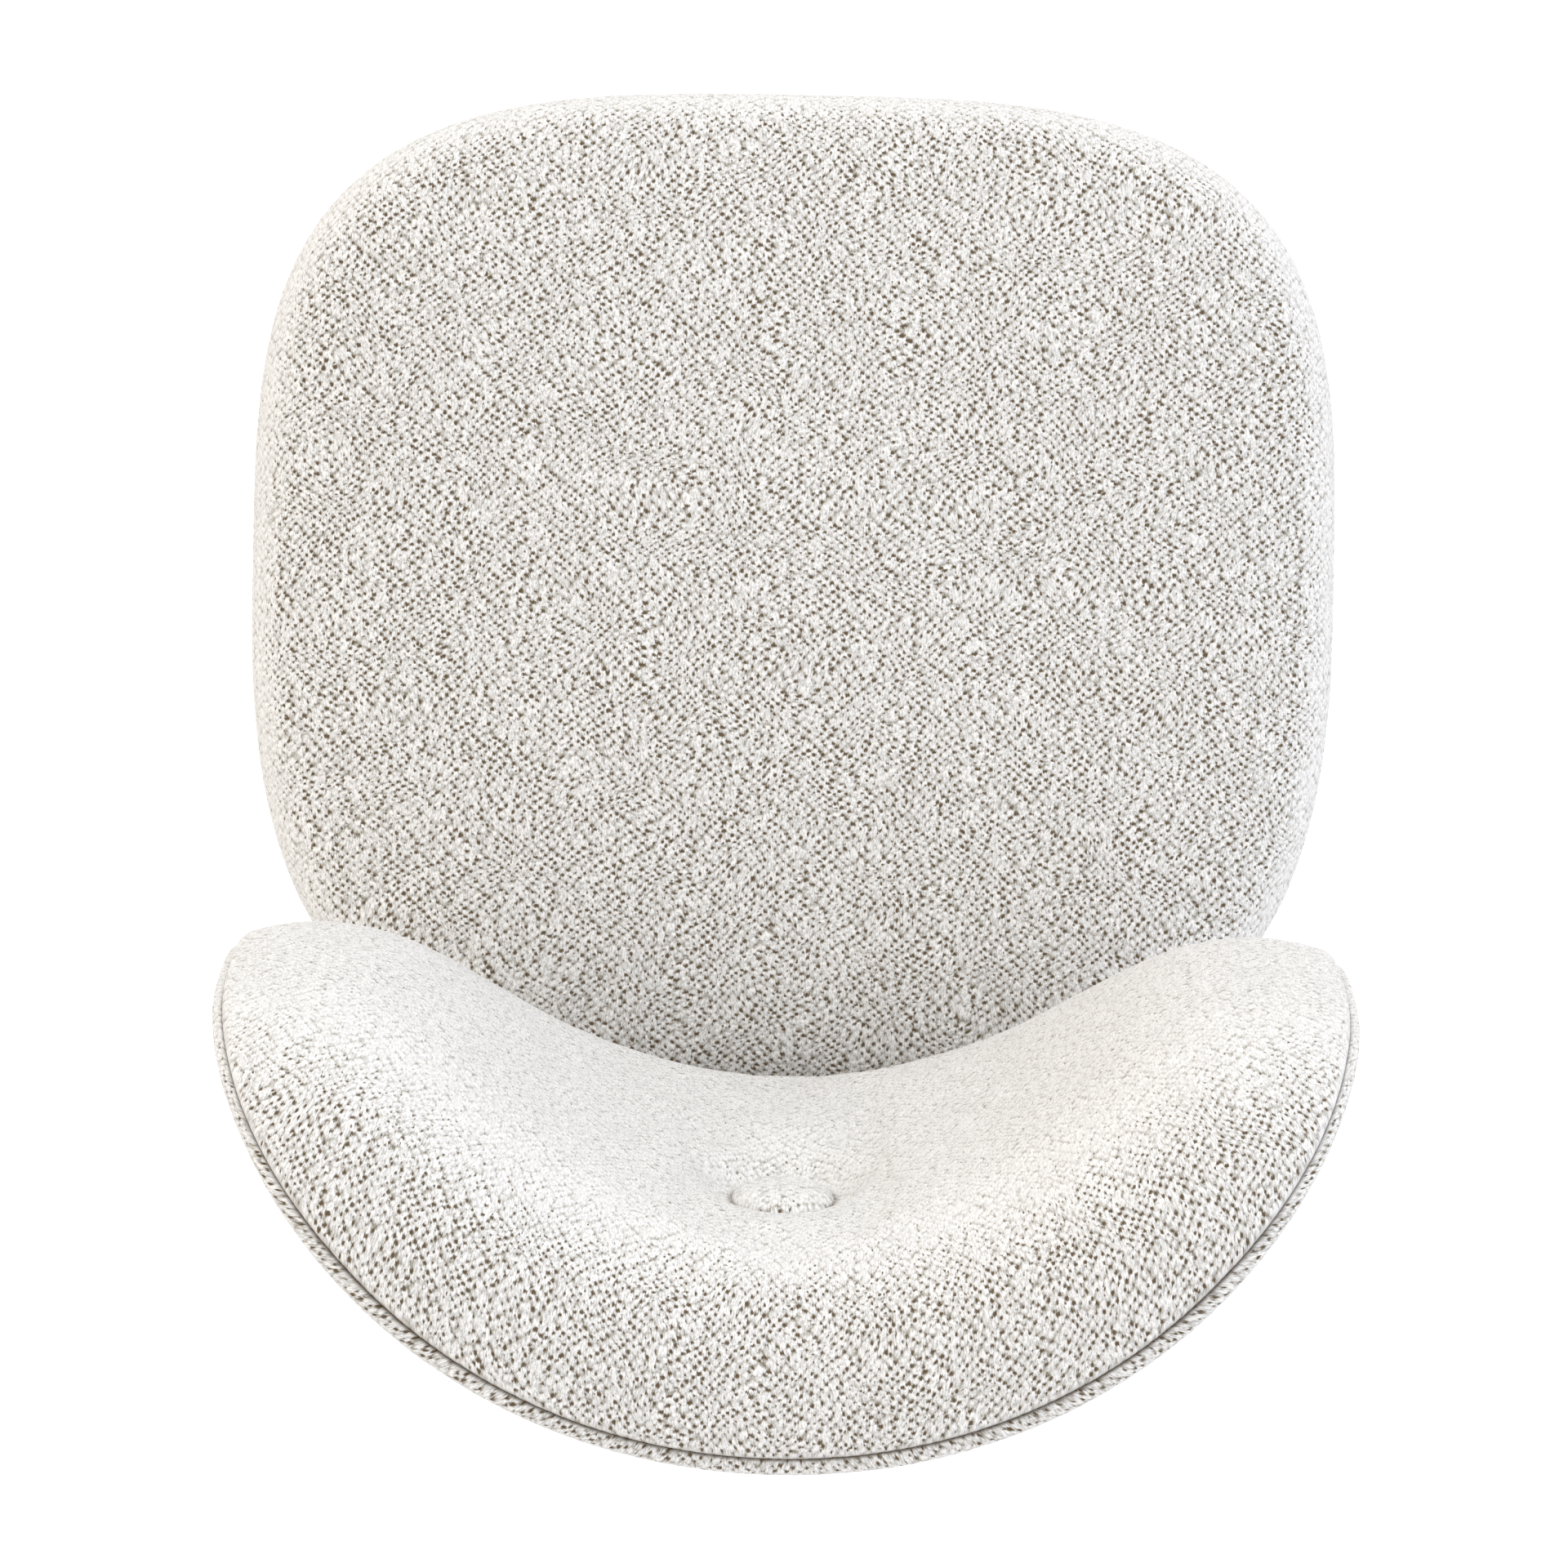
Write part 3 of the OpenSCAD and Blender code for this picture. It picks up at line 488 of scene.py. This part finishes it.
def makeSeatCover():
    p = seatPad
    low = seatLow[2]
    outer = seatProfile(0)
    outer += lowerSide(0, low)
    foot = p["footIn"]
    for a in np.radians([25, 50, 75, 90]):
        outer.append((1, foot + 3 * mm * math.sin(a), low + 3 * mm * (1 - math.sin(a)) * 0.9))
    hemEnd = foot + p["hem"]
    outer += [(1, foot + 14 * mm, low), (1, hemEnd - 1 * mm, low), (1, hemEnd, low + 0.8 * mm)]
    inner = seatProfile(p["cloth"]) + lowerSide(p["cloth"], low + p["cloth"])
    inner.reverse()
    turn = [(1, hemEnd, low + p["cloth"] - 0.4 * mm), (1, hemEnd - 1 * mm, low + p["cloth"] - 0.05 * mm),
            (1, foot + p["cloth"] + 2 * mm, low + p["cloth"] - 0.05 * mm)]
    table, lengths = profileTable(outer + turn + inner, p["reach"])
    p["flatLength"] = lengths[p["topSteps"] - 1]
    gridEnd = lengths[p["topSteps"] + p["edgeSteps"] - 1]
    outerEnd = lengths[len(outer) - 1]
    rings = list(np.arange(gridEnd + 1.6 * mm, outerEnd, 1.9 * mm))
    rings += list(np.linspace(outerEnd, lengths[-1] - 4 * mm, 40))
    mesh, u, v, s = wrapPad("seatCover", (p["cells"], p["cells"]), gridEnd, rings)
    points = seatPlace(u, v, table, lengths, s)
    uv = seatCloth(u, v, table, lengths, s)
    moved = simulateCover(
        "seatCloth", p["simCells"], gridEnd, lambda a, b, c: seatPlace(a, b, table, lengths, c),
        lambda a, b, c: np.clip((c / gridEnd - 0.78) / 0.2, 0, 1), p["pressure"], p["cap"])
    if moved is not None:
        points = points + readGrid(moved, u, v)
    mask = np.clip((outerEnd - 6 * mm - s) / (12 * mm), 0, 1)
    piece = finishPad(mesh, "seatCover", points, uv, boucle, mask=mask)
    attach(piece, "root")
    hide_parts("seat_cover", "seat_foam_base", "seat_foam_top", "seat_wadding")
    return piece


seatCover = makeSeatCover()
print("seat cover made", len(seatCover.data.polygons))


# ---- back pad

backPad = {
    "cells": (430, 350),
    "wrap": math.radians(68.7), "radius": 254 * mm, "thick": 80 * mm,
    "up": 158 * mm, "down": 167 * mm, "mid": 310 * mm,
    "lean": math.radians(15.2), "axisY": 8 * mm,
    "power": 2.9, "edgePower": 6.4, "reach": 190 * mm,
    "button": 337 * mm, "buttonRadius": 22 * mm,
    "buttonDeep": 15 * mm, "ringDeep": 13 * mm,   # depth of the button and of its crevice in the pad
    "hollows": ((5 * mm, 32 * mm), (8 * mm, 14 * mm)),   # depth and reach of the wide and the tight hollow
    "hoodAbove": 0.26,             # how much tighter the hollows close over the top of the button
    "wingOut": 2.5 * mm,           # how far the pad swells out at its ends, against the outer panel
    "rearRound": 4 * mm,           # rounding where the pad meets the groove
    "simCells": 64, "pressure": 3.0, "cap": 2 * mm, "startSmaller": 0.3 * mm,
    "hem": 28 * mm, "cloth": 2.4 * mm,
    "clothRadius": 215 * mm,       # radius at which the cloth lies unstretched
}


def leanedPoint(theta, w, r):
    b = backPad
    x, y = r * np.sin(theta), r * np.cos(theta)
    return np.stack([x, b["axisY"] + y * math.cos(b["lean"]) + w * math.sin(b["lean"]),
                     w * math.cos(b["lean"]) - y * math.sin(b["lean"])], -1)


def wingSwell(theta):
    # towards the ends of the back its pad swells out against the outer panel and narrows the groove
    t = np.clip((np.abs(theta) / backPad["wrap"] - 0.62) / 0.3, 0, 1)
    return backPad["wingOut"] * t * t * (3 - 2 * t)


def backPlace(u, v, table, lengths, s, front):
    b = backPad
    scale, inset, r = along(table, lengths, s)
    angle = np.arctan2(v, u)
    c, sn = np.cos(angle), np.sin(angle)
    k = superReach(c, sn, b["power"]) * scale
    theta = (b["wrap"] - inset / b["radius"]) * c * k
    w = b["mid"] + (np.where(sn > 0, b["up"], b["down"]) - inset) * sn * k
    away = np.hypot(theta * (b["radius"] - b["thick"] + b["buttonDeep"]), w - b["button"])
    upwards = np.clip((w - b["button"]) / np.maximum(away, 1e-6), 0, 1)
    past = np.maximum(0, away - b["buttonRadius"] - 1 * mm) / (1 - b["hoodAbove"] * upwards ** 2)
    sink = sum(depth * np.exp(-(past / size) ** 2) for depth, size in b["hollows"])
    sink = sink + b["startSmaller"] * 1
    swell = wingSwell(theta) * np.clip((r - b["radius"] + b["thick"]) / b["thick"], 0, 1) ** 3
    return leanedPoint(theta, w, r + sink * front + swell), theta, w


def backProfile(inset):
    b = backPad
    path = []
    for a in np.linspace(0, 1, 90):
        f = math.sin(a * math.pi / 2) ** 0.55 if a else 0
        r = b["radius"] - (b["thick"] - inset) * math.sqrt(max(0, 1 - f ** b["edgePower"]))
        if r < b["radius"] - b["rearRound"]:
            path.append((f, inset, r))
    path.append((1, inset, b["radius"] - b["rearRound"]))
    return path


def makeBackCover():
    b = backPad
    outer = backProfile(0)
    edgeIndex = len(outer) - 1
    rim, soft = b["radius"], b["rearRound"]
    for a in np.radians([15, 30, 45, 60, 75, 90]):
        outer.append((1, soft * (1 - math.cos(a)), rim - soft + soft * math.sin(a)))
    outer += [(1, b["hem"] - 1 * mm, rim), (1, b["hem"], rim - 0.6 * mm)]
    turn = [(1, b["hem"], rim - 1.4 * mm), (1, b["hem"] - 1 * mm, rim - 1.8 * mm),
            (1, soft + b["cloth"], rim - 1.8 * mm)]
    inner = [(f, d, r) for f, d, r in reversed(backProfile(b["cloth"])) if r < rim - soft]
    table, lengths = profileTable(outer + turn + inner, b["reach"])
    gridEnd = lengths[edgeIndex]
    outerEnd = lengths[len(outer) - 1]
    seamAt = lengths[edgeIndex + 5]
    rings = list(np.arange(gridEnd + 0.8 * mm, gridEnd + 8 * mm, 0.8 * mm))
    rings += list(np.arange(gridEnd + 9 * mm, outerEnd, 2.5 * mm))
    rings += list(np.linspace(outerEnd, lengths[-1] - 4 * mm, 40))
    mesh, u, v, s = wrapPad("backCover", b["cells"], gridEnd, rings)

    def place(a, c, d):
        # the dimple belongs to the two faces of the cloth and not to its hem
        onFace = ((d < gridEnd) | (d > outerEnd + 40 * mm)).astype(float)
        return backPlace(a, c, table, lengths, d, onFace)

    def held(a, c, d):
        _, theta, w = place(a, c, d)
        away = np.hypot(theta * (b["radius"] - b["thick"]), w - b["button"])
        atRim = np.clip((d / gridEnd - 0.72) / 0.22, 0, 1)
        return np.maximum(atRim, np.clip(1.8 - away / b["buttonRadius"], 0, 1))

    points, theta, w = place(u, v, s)
    moved = simulateCover(
        "backCloth", b["simCells"], gridEnd, lambda a, c, d: place(a, c, d)[0], held,
        b["pressure"], b["cap"])
    if moved is not None:
        points = points + readGrid(moved, u, v)
    flat = np.stack([theta * b["clothRadius"], w - b["mid"]], 1)
    scale = along(table, lengths, s)[0]
    extra = np.maximum(s - scale * b["reach"], 0)
    size = np.maximum(np.hypot(flat[:, 0], flat[:, 1]), 1e-6)
    uv = flat * (1 + extra / size)[:, None]
    mask = np.clip((gridEnd + 6 * mm - s) / (4 * mm), 0, 1)
    # painted shade along the groove between the pad and the outer panel
    creviceShade = np.exp(-((s - seamAt) / (2.2 * mm)) ** 2) * (1 - 0.9 * wingSwell(theta) / b["wingOut"])
    # painted shade: the crevice round the button is coloured as dark as the groove
    away = np.hypot(theta * (b["radius"] - b["thick"] + b["ringDeep"]), w - b["button"])
    crevice = np.exp(-((away - b["buttonRadius"]) / (1.6 * mm)) ** 2) * (s < gridEnd)
    creviceShade = np.maximum(creviceShade, 0.7 * crevice)
    piece = finishPad(mesh, "backCover", points, uv, boucle, mask=mask, creviceShade=creviceShade)
    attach(piece, "root")
    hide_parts("back_cover", "back_foam", "back_wadding")
    return piece


backCover = makeBackCover()
print("back cover made", len(backCover.data.polygons))


# ---- outer panel behind the back

panelShape = {
    "cells": (230, 200),
    "near": 254.4 * mm, "far": 262 * mm, "edgeIn": 3.4 * mm, "edgeRound": 2.8 * mm, "nearRound": 2.2 * mm,
    "tongueHalf": math.radians(22), "tongueEnd": 72 * mm,
}


def panelOutline(inset):
    # the back's outline with the tongue below it, as angle round the middle and distance out
    b, p = backPad, panelShape
    corners = []
    for a in np.radians(np.linspace(-66, 246, 160)):
        k = superReach(math.cos(a), math.sin(a), b["power"])
        corners.append(((b["wrap"] - inset / b["radius"]) * math.cos(a) * k,
                        b["mid"] + ((b["up"] if math.sin(a) > 0 else b["down"]) - inset) * math.sin(a) * k))
    side = p["tongueHalf"] - inset / b["radius"]
    root = b["mid"] - b["down"] + inset
    low = p["tongueEnd"] + inset
    degree = math.radians(1)
    left = [(side + 6 * degree, root + 5 * mm), (side + 1.5 * degree, root - 6 * mm), (side, root - 20 * mm),
            (side, low + 8 * mm), (side - 0.6 * degree, low + 3 * mm), (side - 2 * degree, low)]
    corners += [(-t, w) for t, w in left] + [(t, w) for t, w in reversed(left)]
    return np.array(corners)


def panelPlace(u, v, scale, inset):
    # angle round the middle and distance out, by the bearing of each point from the middle of the panel
    b = backPad
    angle = np.arctan2(v * 0.19, u * 0.3)
    theta = np.zeros(len(u))
    w = np.zeros(len(u))
    for value in np.unique(inset):
        rim = panelOutline(value)
        out = np.stack([rim[:, 0] * b["radius"], rim[:, 1] - b["mid"]], 1)
        bearing = np.arctan2(out[:, 1], out[:, 0])
        order = np.argsort(bearing)
        bearing = bearing[order]
        bearing = np.concatenate([bearing - 2 * math.pi, bearing, bearing + 2 * math.pi])
        xs = np.concatenate([out[order, 0]] * 3)
        ys = np.concatenate([out[order, 1]] * 3)
        here = inset == value
        theta[here] = np.interp(angle[here], bearing, xs) * scale[here] / b["radius"]
        w[here] = np.interp(angle[here], bearing, ys) * scale[here] + b["mid"]
    return theta, w


def makeOuterPanel():
    p, b = panelShape, backPad
    roundness = p["edgeRound"]
    length = 0.2
    bends = np.radians([12, 24, 36, 48, 60, 72, 90])
    stages = [(p["edgeIn"] + roundness * (1 - math.sin(a)), p["far"] - roundness * (1 - math.cos(a)))
              for a in bends]
    nearRound = p["nearRound"]
    stages += [(p["edgeIn"] + nearRound * (1 - math.cos(a)), p["near"] + nearRound * (1 - math.sin(a)))
               for a in np.radians([0, 22, 45, 67, 90])]
    stages += [(p["edgeIn"] + nearRound + 3 * mm, p["near"])]
    inside = list(np.linspace(0.93, 0.02, 14))
    rings = [length + k + 1 for k in range(len(stages) + len(inside))]
    mesh, u, v, s = wrapPad("outerPanelCover", p["cells"], length, rings)
    stage = np.round(s - length).astype(int)
    onFace = s <= length + 1e-6
    scale = np.where(onFace, s / length, 1.0)
    inset = np.full(len(s), p["edgeIn"] + roundness)
    r = np.full(len(s), p["far"])
    for k, (d, radius) in enumerate(stages):
        inset[stage == k + 1] = d
        r[stage == k + 1] = radius
    for k, f in enumerate(inside):
        here = stage == len(stages) + k + 1
        scale[here] = f
        inset[here] = stages[-1][0]
        r[here] = p["near"]
    theta, w = panelPlace(u, v, scale, inset)
    r = p["far"] - (p["far"] - r) * (p["far"] - p["near"] - wingSwell(theta)) / (p["far"] - p["near"])
    points = leanedPoint(theta, w, r)
    uv = np.stack([theta * b["radius"], w - b["mid"]], 1)
    size = np.maximum(np.hypot(uv[:, 0], uv[:, 1]), 1e-6)
    steps = [(p["edgeIn"] + roundness, p["far"])] + stages
    passed = np.concatenate([[0], np.cumsum([math.dist(a, c) for a, c in zip(steps, steps[1:])])])
    around = np.interp(np.clip(stage, 0, len(stages)), range(len(steps)), passed) * (~onFace)
    uv = uv * (1 + around / size)[:, None]
    mask = np.where(stage > len(bends) + 4, 0.0, 0.7)
    # painted shade on the faces inside the groove
    creviceShade = np.where(stage >= len(bends) + 4, 1.0, np.where(stage == len(bends) + 3, 0.6, 0.0))
    creviceShade = creviceShade * (1 - 0.8 * wingSwell(theta) / b["wingOut"])
    piece = finishPad(mesh, "outerPanelCover", points, uv, boucle, mask=mask, creviceShade=creviceShade)
    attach(piece, "root")
    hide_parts("outer_panel_cover", "outer_panel_border", "outer_panel_wadding")
    return piece


outerPanel = makeOuterPanel()
print("outer panel made", len(outerPanel.data.polygons))


# ---- covered button

buttonShape = {
    "radius": 22 * mm, "height": 9 * mm, "cloth": 1.6 * mm,
    "rim": 187.1 * mm,             # radius of the back's curve at which the button's rim lies
    "cells": 60, "domeSteps": 24,
}


def makeButton():
    q, b = buttonShape, backPad
    path = [(math.sin(a), 0, q["height"] * math.cos(a) ** 0.9)
            for a in np.linspace(0, math.pi / 2 * 0.96, q["domeSteps"])]
    path += [(1, 0, 0.8 * mm), (0.985, 0, 0.2 * mm), (0.95, 0, 0), (0.7, 0, 0),
             (0.69, 0, q["cloth"] * 0.5), (0.7, 0, q["cloth"]), (0.9, 0, q["cloth"] * 1.05)]
    path += [(0.92 * math.sin(a), 0, (q["height"] - q["cloth"]) * math.cos(a) ** 0.9)
             for a in np.linspace(math.pi / 2 * 0.85, 0.02, 12)]
    table, lengths = profileTable(path, q["radius"])
    gridEnd = lengths[q["domeSteps"] - 1]
    rings = list(np.linspace(gridEnd, lengths[-1], 26))[1:]
    mesh, u, v, s = wrapPad("buttonCover", (q["cells"], q["cells"]), gridEnd, rings)
    scale, _, z = along(table, lengths, s)
    angle = np.arctan2(v, u)
    x, y = np.cos(angle) * scale * q["radius"], np.sin(angle) * scale * q["radius"]
    points = leanedPoint(np.zeros(len(s)), b["button"] + y, q["rim"] - z)
    points[:, 0] = x
    uv = np.stack([x, y], 1)
    mask = np.clip((gridEnd - s) / (3 * mm), 0, 1)
    # painted shade under the button's rim, where it meets the pad
    creviceShade = np.clip((s - gridEnd + 1.5 * mm) / (2 * mm), 0, 0.75)
    piece = finishPad(mesh, "buttonCover", points, uv, boucle, amount=0.7, mask=mask, creviceShade=creviceShade)
    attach(piece, "root")
    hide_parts("button_cover")
    return piece


button = makeButton()
print("button made")


# ---- cloth on the front of the tongue

tongueCloth = {"cells": (150, 70), "half": math.radians(21), "near": 240 * mm, "far": 241.8 * mm}


def makeTongueCover():
    # the same cloth, cut to the tongue and stapled behind it
    t = tongueCloth
    low, high = panelShape["tongueEnd"] + 4.6 * mm, backPad["mid"] - backPad["down"] - 2 * mm
    length = 0.05
    inside = list(np.linspace(0.9, 0.02, 10))
    rings = [length + k + 1 for k in range(len(inside) + 2)]
    mesh, u, v, s = wrapPad("tongueCover", t["cells"], length, rings)
    stage = np.round(np.maximum(s - length, 0)).astype(int)
    scale = np.ones(len(s))
    r = np.full(len(s), t["near"])
    r[stage == 1] = (t["near"] + t["far"]) / 2
    r[stage >= 2] = t["far"]
    for k, f in enumerate(inside):
        scale[stage == k + 3] = f
    theta = u * scale * t["half"]
    w = (low + high) / 2 + v * scale * (high - low) / 2
    points = leanedPoint(theta, w, r)
    uv = np.stack([theta * t["near"], w], 1)
    mask = np.where(stage == 0, 1.0, 0.0)
    piece = finishPad(mesh, "tongueCover", points, uv, boucle, amount=0.5, mask=mask)
    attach(piece, "root")
    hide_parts("tongue_cover")
    return piece


makeTongueCover()
print("tongue cover made")


# ---- dust cover under the seat

dustCover = {
    "cells": 150, "inset": 33 * mm, "thick": 0.5 * mm,
    "bolts": 80 * mm, "hole": 8 * mm,
    "slack": 0.9 * mm, "puckers": 28,   # how far it puckers between its staples, and how often
}


def makeDustFabric():
    # black spun-bonded polypropylene with its pressed dots
    material, tree, shader = startMaterial("blackDustCloth", Roughness=0.85, Specular_IOR_Level=0.2)
    place = addNode(tree, "ShaderNodeUVMap", uv_map="cloth").outputs["UV"]
    dots = addNode(tree, "ShaderNodeTexVoronoi", {
        "Vector": place, "Scale": 1 / (1.6 * mm), "Randomness": 0.0}, voronoi_dimensions="2D")
    fibres = addNode(tree, "ShaderNodeTexNoise", {"Vector": place, "Scale": 1 / (3 * mm), "Detail": 4.0})
    colour = addNode(tree, "ShaderNodeValToRGB", {"Fac": fibres.outputs["Fac"]})
    rampColours(colour, [(0.35, "#17171a"), (0.7, "#26262a")])
    tree.links.new(colour.outputs["Color"], shader.inputs["Base Color"])
    bump = addNode(tree, "ShaderNodeBump", {
        "Height": dots.outputs["Distance"], "Strength": 0.4, "Distance": 0.2 * mm})
    tree.links.new(bump.outputs["Normal"], shader.inputs["Normal"])
    return material


def makeDustCover():
    d = dustCover
    bm = bmesh.new()
    bmesh.ops.create_grid(bm, x_segments=d["cells"], y_segments=d["cells"], size=1.0)
    halfX, front, rear = seatHigh[0] - d["inset"], -seatLow[1] - d["inset"], seatHigh[1] - d["inset"]
    for vert in bm.verts:
        u, v = vert.co.x, vert.co.y
        size, angle = max(abs(u), abs(v)), math.atan2(v, u)
        c, sn = math.cos(angle), math.sin(angle)
        k = size * superReach(c, sn, seatPad["rearPower"] if sn > 0 else seatPad["frontPower"])
        pucker = d["slack"] * size ** 12 * (0.5 - 0.5 * math.cos(d["puckers"] * angle))
        vert.co = (halfX * c * k, (rear if sn > 0 else front) * sn * k, 0.02 * mm + pucker)
    bolts = [Vector((x * d["bolts"], y * d["bolts"], 0)) for x in (-1, 1) for y in (-1, 1)]
    cut = [f for f in bm.faces if any((f.calc_center_median() - b).to_2d().length < d["hole"] for b in bolts)]
    bmesh.ops.delete(bm, geom=cut, context="FACES")
    for vert in bm.verts:
        for b in bolts:
            out = (vert.co - b).to_2d()
            if vert.is_boundary and out.length < d["hole"] * 1.6:
                out = out.normalized() * d["hole"]
                vert.co = (b.x + out.x, b.y + out.y, vert.co.z)
    area = sum(f.calc_area() for f in bm.faces)
    bmesh.ops.recalc_face_normals(bm, faces=bm.faces)
    bmesh.ops.solidify(bm, geom=list(bm.faces), thickness=d["thick"])
    bmesh.ops.recalc_face_normals(bm, faces=bm.faces)
    lowest = min(vert.co.z for vert in bm.verts)
    bmesh.ops.translate(bm, verts=bm.verts, vec=(0, 0, -lowest))
    uvLayer = bm.loops.layers.uv.new("cloth")
    for face in bm.faces:
        for loop in face.loops:
            loop[uvLayer].uv = loop.vert.co.xy
    mesh = bpy.data.meshes.new("dustCover")
    bm.to_mesh(mesh)
    bm.free()
    mesh.shade_smooth()
    mesh.materials.append(makeDustFabric())
    piece = bpy.data.objects.new("dustCover", mesh)
    bpy.context.scene.collection.objects.link(piece)
    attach(piece, "root")
    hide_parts("seat_dust_cover")
    return piece


makeDustCover()
print("dust cover made")


# ---- finishes of the parts that keep their CAD shape

def makeWood(name, light, dark, ring):
    # rotary-cut veneer: long soft figure along one direction
    material, tree, shader = startMaterial(name, Roughness=0.55)
    place = addNode(tree, "ShaderNodeTexCoord").outputs["Object"]
    stretched = addNode(tree, "ShaderNodeMapping", {"Vector": place, "Scale": (1, 0.08, 1)})
    figure = addNode(tree, "ShaderNodeTexNoise", {
        "Vector": stretched.outputs[0], "Scale": 1 / ring,
        "Detail": 5.0, "Roughness": 0.6, "Distortion": 0.4})
    colour = addNode(tree, "ShaderNodeValToRGB", {"Fac": figure.outputs["Fac"]})
    rampColours(colour, [(0.35, dark), (0.65, light)])
    tree.links.new(colour.outputs["Color"], shader.inputs["Base Color"])
    bump = addNode(tree, "ShaderNodeBump", {
        "Height": figure.outputs["Fac"], "Strength": 0.15, "Distance": 0.3 * mm})
    tree.links.new(bump.outputs["Normal"], shader.inputs["Normal"])
    return material


def makeMetal(name, colour, roughness, grain):
    # plated or bare steel with faint uneven brightness
    material, tree, shader = startMaterial(name, Metallic=1.0)
    shader.inputs["Base Color"].default_value = toLinear(colour)
    place = addNode(tree, "ShaderNodeTexCoord").outputs["Object"]
    blotches = addNode(tree, "ShaderNodeTexNoise", {"Vector": place, "Scale": 1 / grain, "Detail": 3.0})
    rough = addNode(tree, "ShaderNodeMapRange", {
        "Value": blotches.outputs["Fac"], "To Min": roughness * 0.75, "To Max": roughness * 1.25})
    tree.links.new(rough.outputs[0], shader.inputs["Roughness"])
    return material


def makePlain(name, colour, roughness):
    # moulded or spun stuff of one colour
    material, _, shader = startMaterial(name, Roughness=roughness)
    shader.inputs["Base Color"].default_value = toLinear(colour)
    return material


finishes = {
    "birchPlywood": (makeWood("birchPlywood", "#e2c79c", "#c9a573", 9 * mm), ["seat_board", "back_shell"]),
    "greyBoard": (makeWood("greyBoard", "#a78e6c", "#8d7656", 2 * mm), ["outer_panel_board"]),
    "zincSteel": (makeMetal("zincSteel", "#c9ccce", 0.32, 3 * mm), [
        "base_tee_nuts", "bracket_tee_nuts", "bracket_seat_bolts", "bracket_back_bolts",
        "bracket_back_washers", "bracket_nuts", "twine_washer", "button_cap"]),
    "blackSteel": (makeMetal("blackSteel", "#5b5d60", 0.45, 8 * mm), ["left_bracket", "right_bracket"]),
    "stapleWire": (makeMetal("stapleWire", "#b9bbbd", 0.38, 2 * mm), [
        "seat_cover_staples", "dust_cover_staples", "back_cover_staples"]),
    "whiteNylon": (makePlain("whiteNylon", "#d9d9d4", 0.42), ["panel_clips", "button_plug"]),
    "waxedTwine": (makePlain("waxedTwine", "#d8cdb4", 0.7), ["tufting_twine"]),
}

for finish, nodes in finishes.values():
    for nodeName in nodes:
        shownNode = bpy.data.objects[nodeName]
        shownNode.data.materials.clear()
        shownNode.data.materials.append(finish)
print("finishes set")


# ---- floor and light

def makeStage():
    mesh = bpy.data.meshes.new("floor")
    bm = bmesh.new()
    bmesh.ops.create_grid(bm, x_segments=1, y_segments=1, size=6.0)
    bm.to_mesh(mesh)
    bm.free()
    floor = bpy.data.objects.new("floor", mesh)
    floor.location = (0, 0, -0.5 * mm)
    bpy.context.scene.collection.objects.link(floor)
    material, _, shader = startMaterial("whitePaperSweep", Roughness=0.9, Specular_IOR_Level=0.1)
    shader.inputs["Base Color"].default_value = toLinear("#f4f4f4")
    shader.inputs["Emission Color"].default_value = (1, 1, 1, 1)
    shader.inputs["Emission Strength"].default_value = 0.35
    mesh.materials.append(material)


studioLight = {
    "strength": 1.08,
    "sides": 0.3,       # extra light from both sides of the chair
    "right": 0.07,      # how much weaker it is from the chair's +X side
    "behind": 0.34,     # how much weaker it is from behind the chair
    "warm": "#fff6ea", "cool": "#f4f7ff",
}


def makeLight(light=studioLight):
    world = bpy.data.worlds.new("softStudio")
    bpy.context.scene.world = world
    world.use_nodes = True
    tree = world.node_tree
    place = addNode(tree, "ShaderNodeTexCoord").outputs["Generated"]
    split = addNode(tree, "ShaderNodeSeparateXYZ", {0: place})
    across = mathNode(tree, "MULTIPLY", split.outputs["X"], split.outputs["X"])
    sides = mathNode(tree, "MULTIPLY", across, light["sides"])
    behind = mathNode(tree, "MULTIPLY", split.outputs["Y"], light["behind"])
    right = mathNode(tree, "MULTIPLY", split.outputs["X"], light["right"])
    change = mathNode(tree, "SUBTRACT", sides, mathNode(tree, "ADD", behind, right))
    total = mathNode(tree, "ADD", light["strength"], change)
    warmth = addNode(tree, "ShaderNodeMapRange", {
        "Value": split.outputs["X"], "From Min": -1.0, "From Max": 1.0})
    tint = addNode(tree, "ShaderNodeValToRGB", {"Fac": warmth.outputs[0]})
    rampColours(tint, [(0.1, light["cool"]), (0.45, "#ffffff"), (0.55, "#ffffff"), (0.9, light["warm"])])
    background = tree.nodes["Background"]
    tree.links.new(tint.outputs["Color"], background.inputs["Color"])
    tree.links.new(total, background.inputs["Strength"])


makeStage()
makeLight()
scene = bpy.context.scene
scene.view_settings.view_transform = "Standard"
scene.view_settings.look = "None"
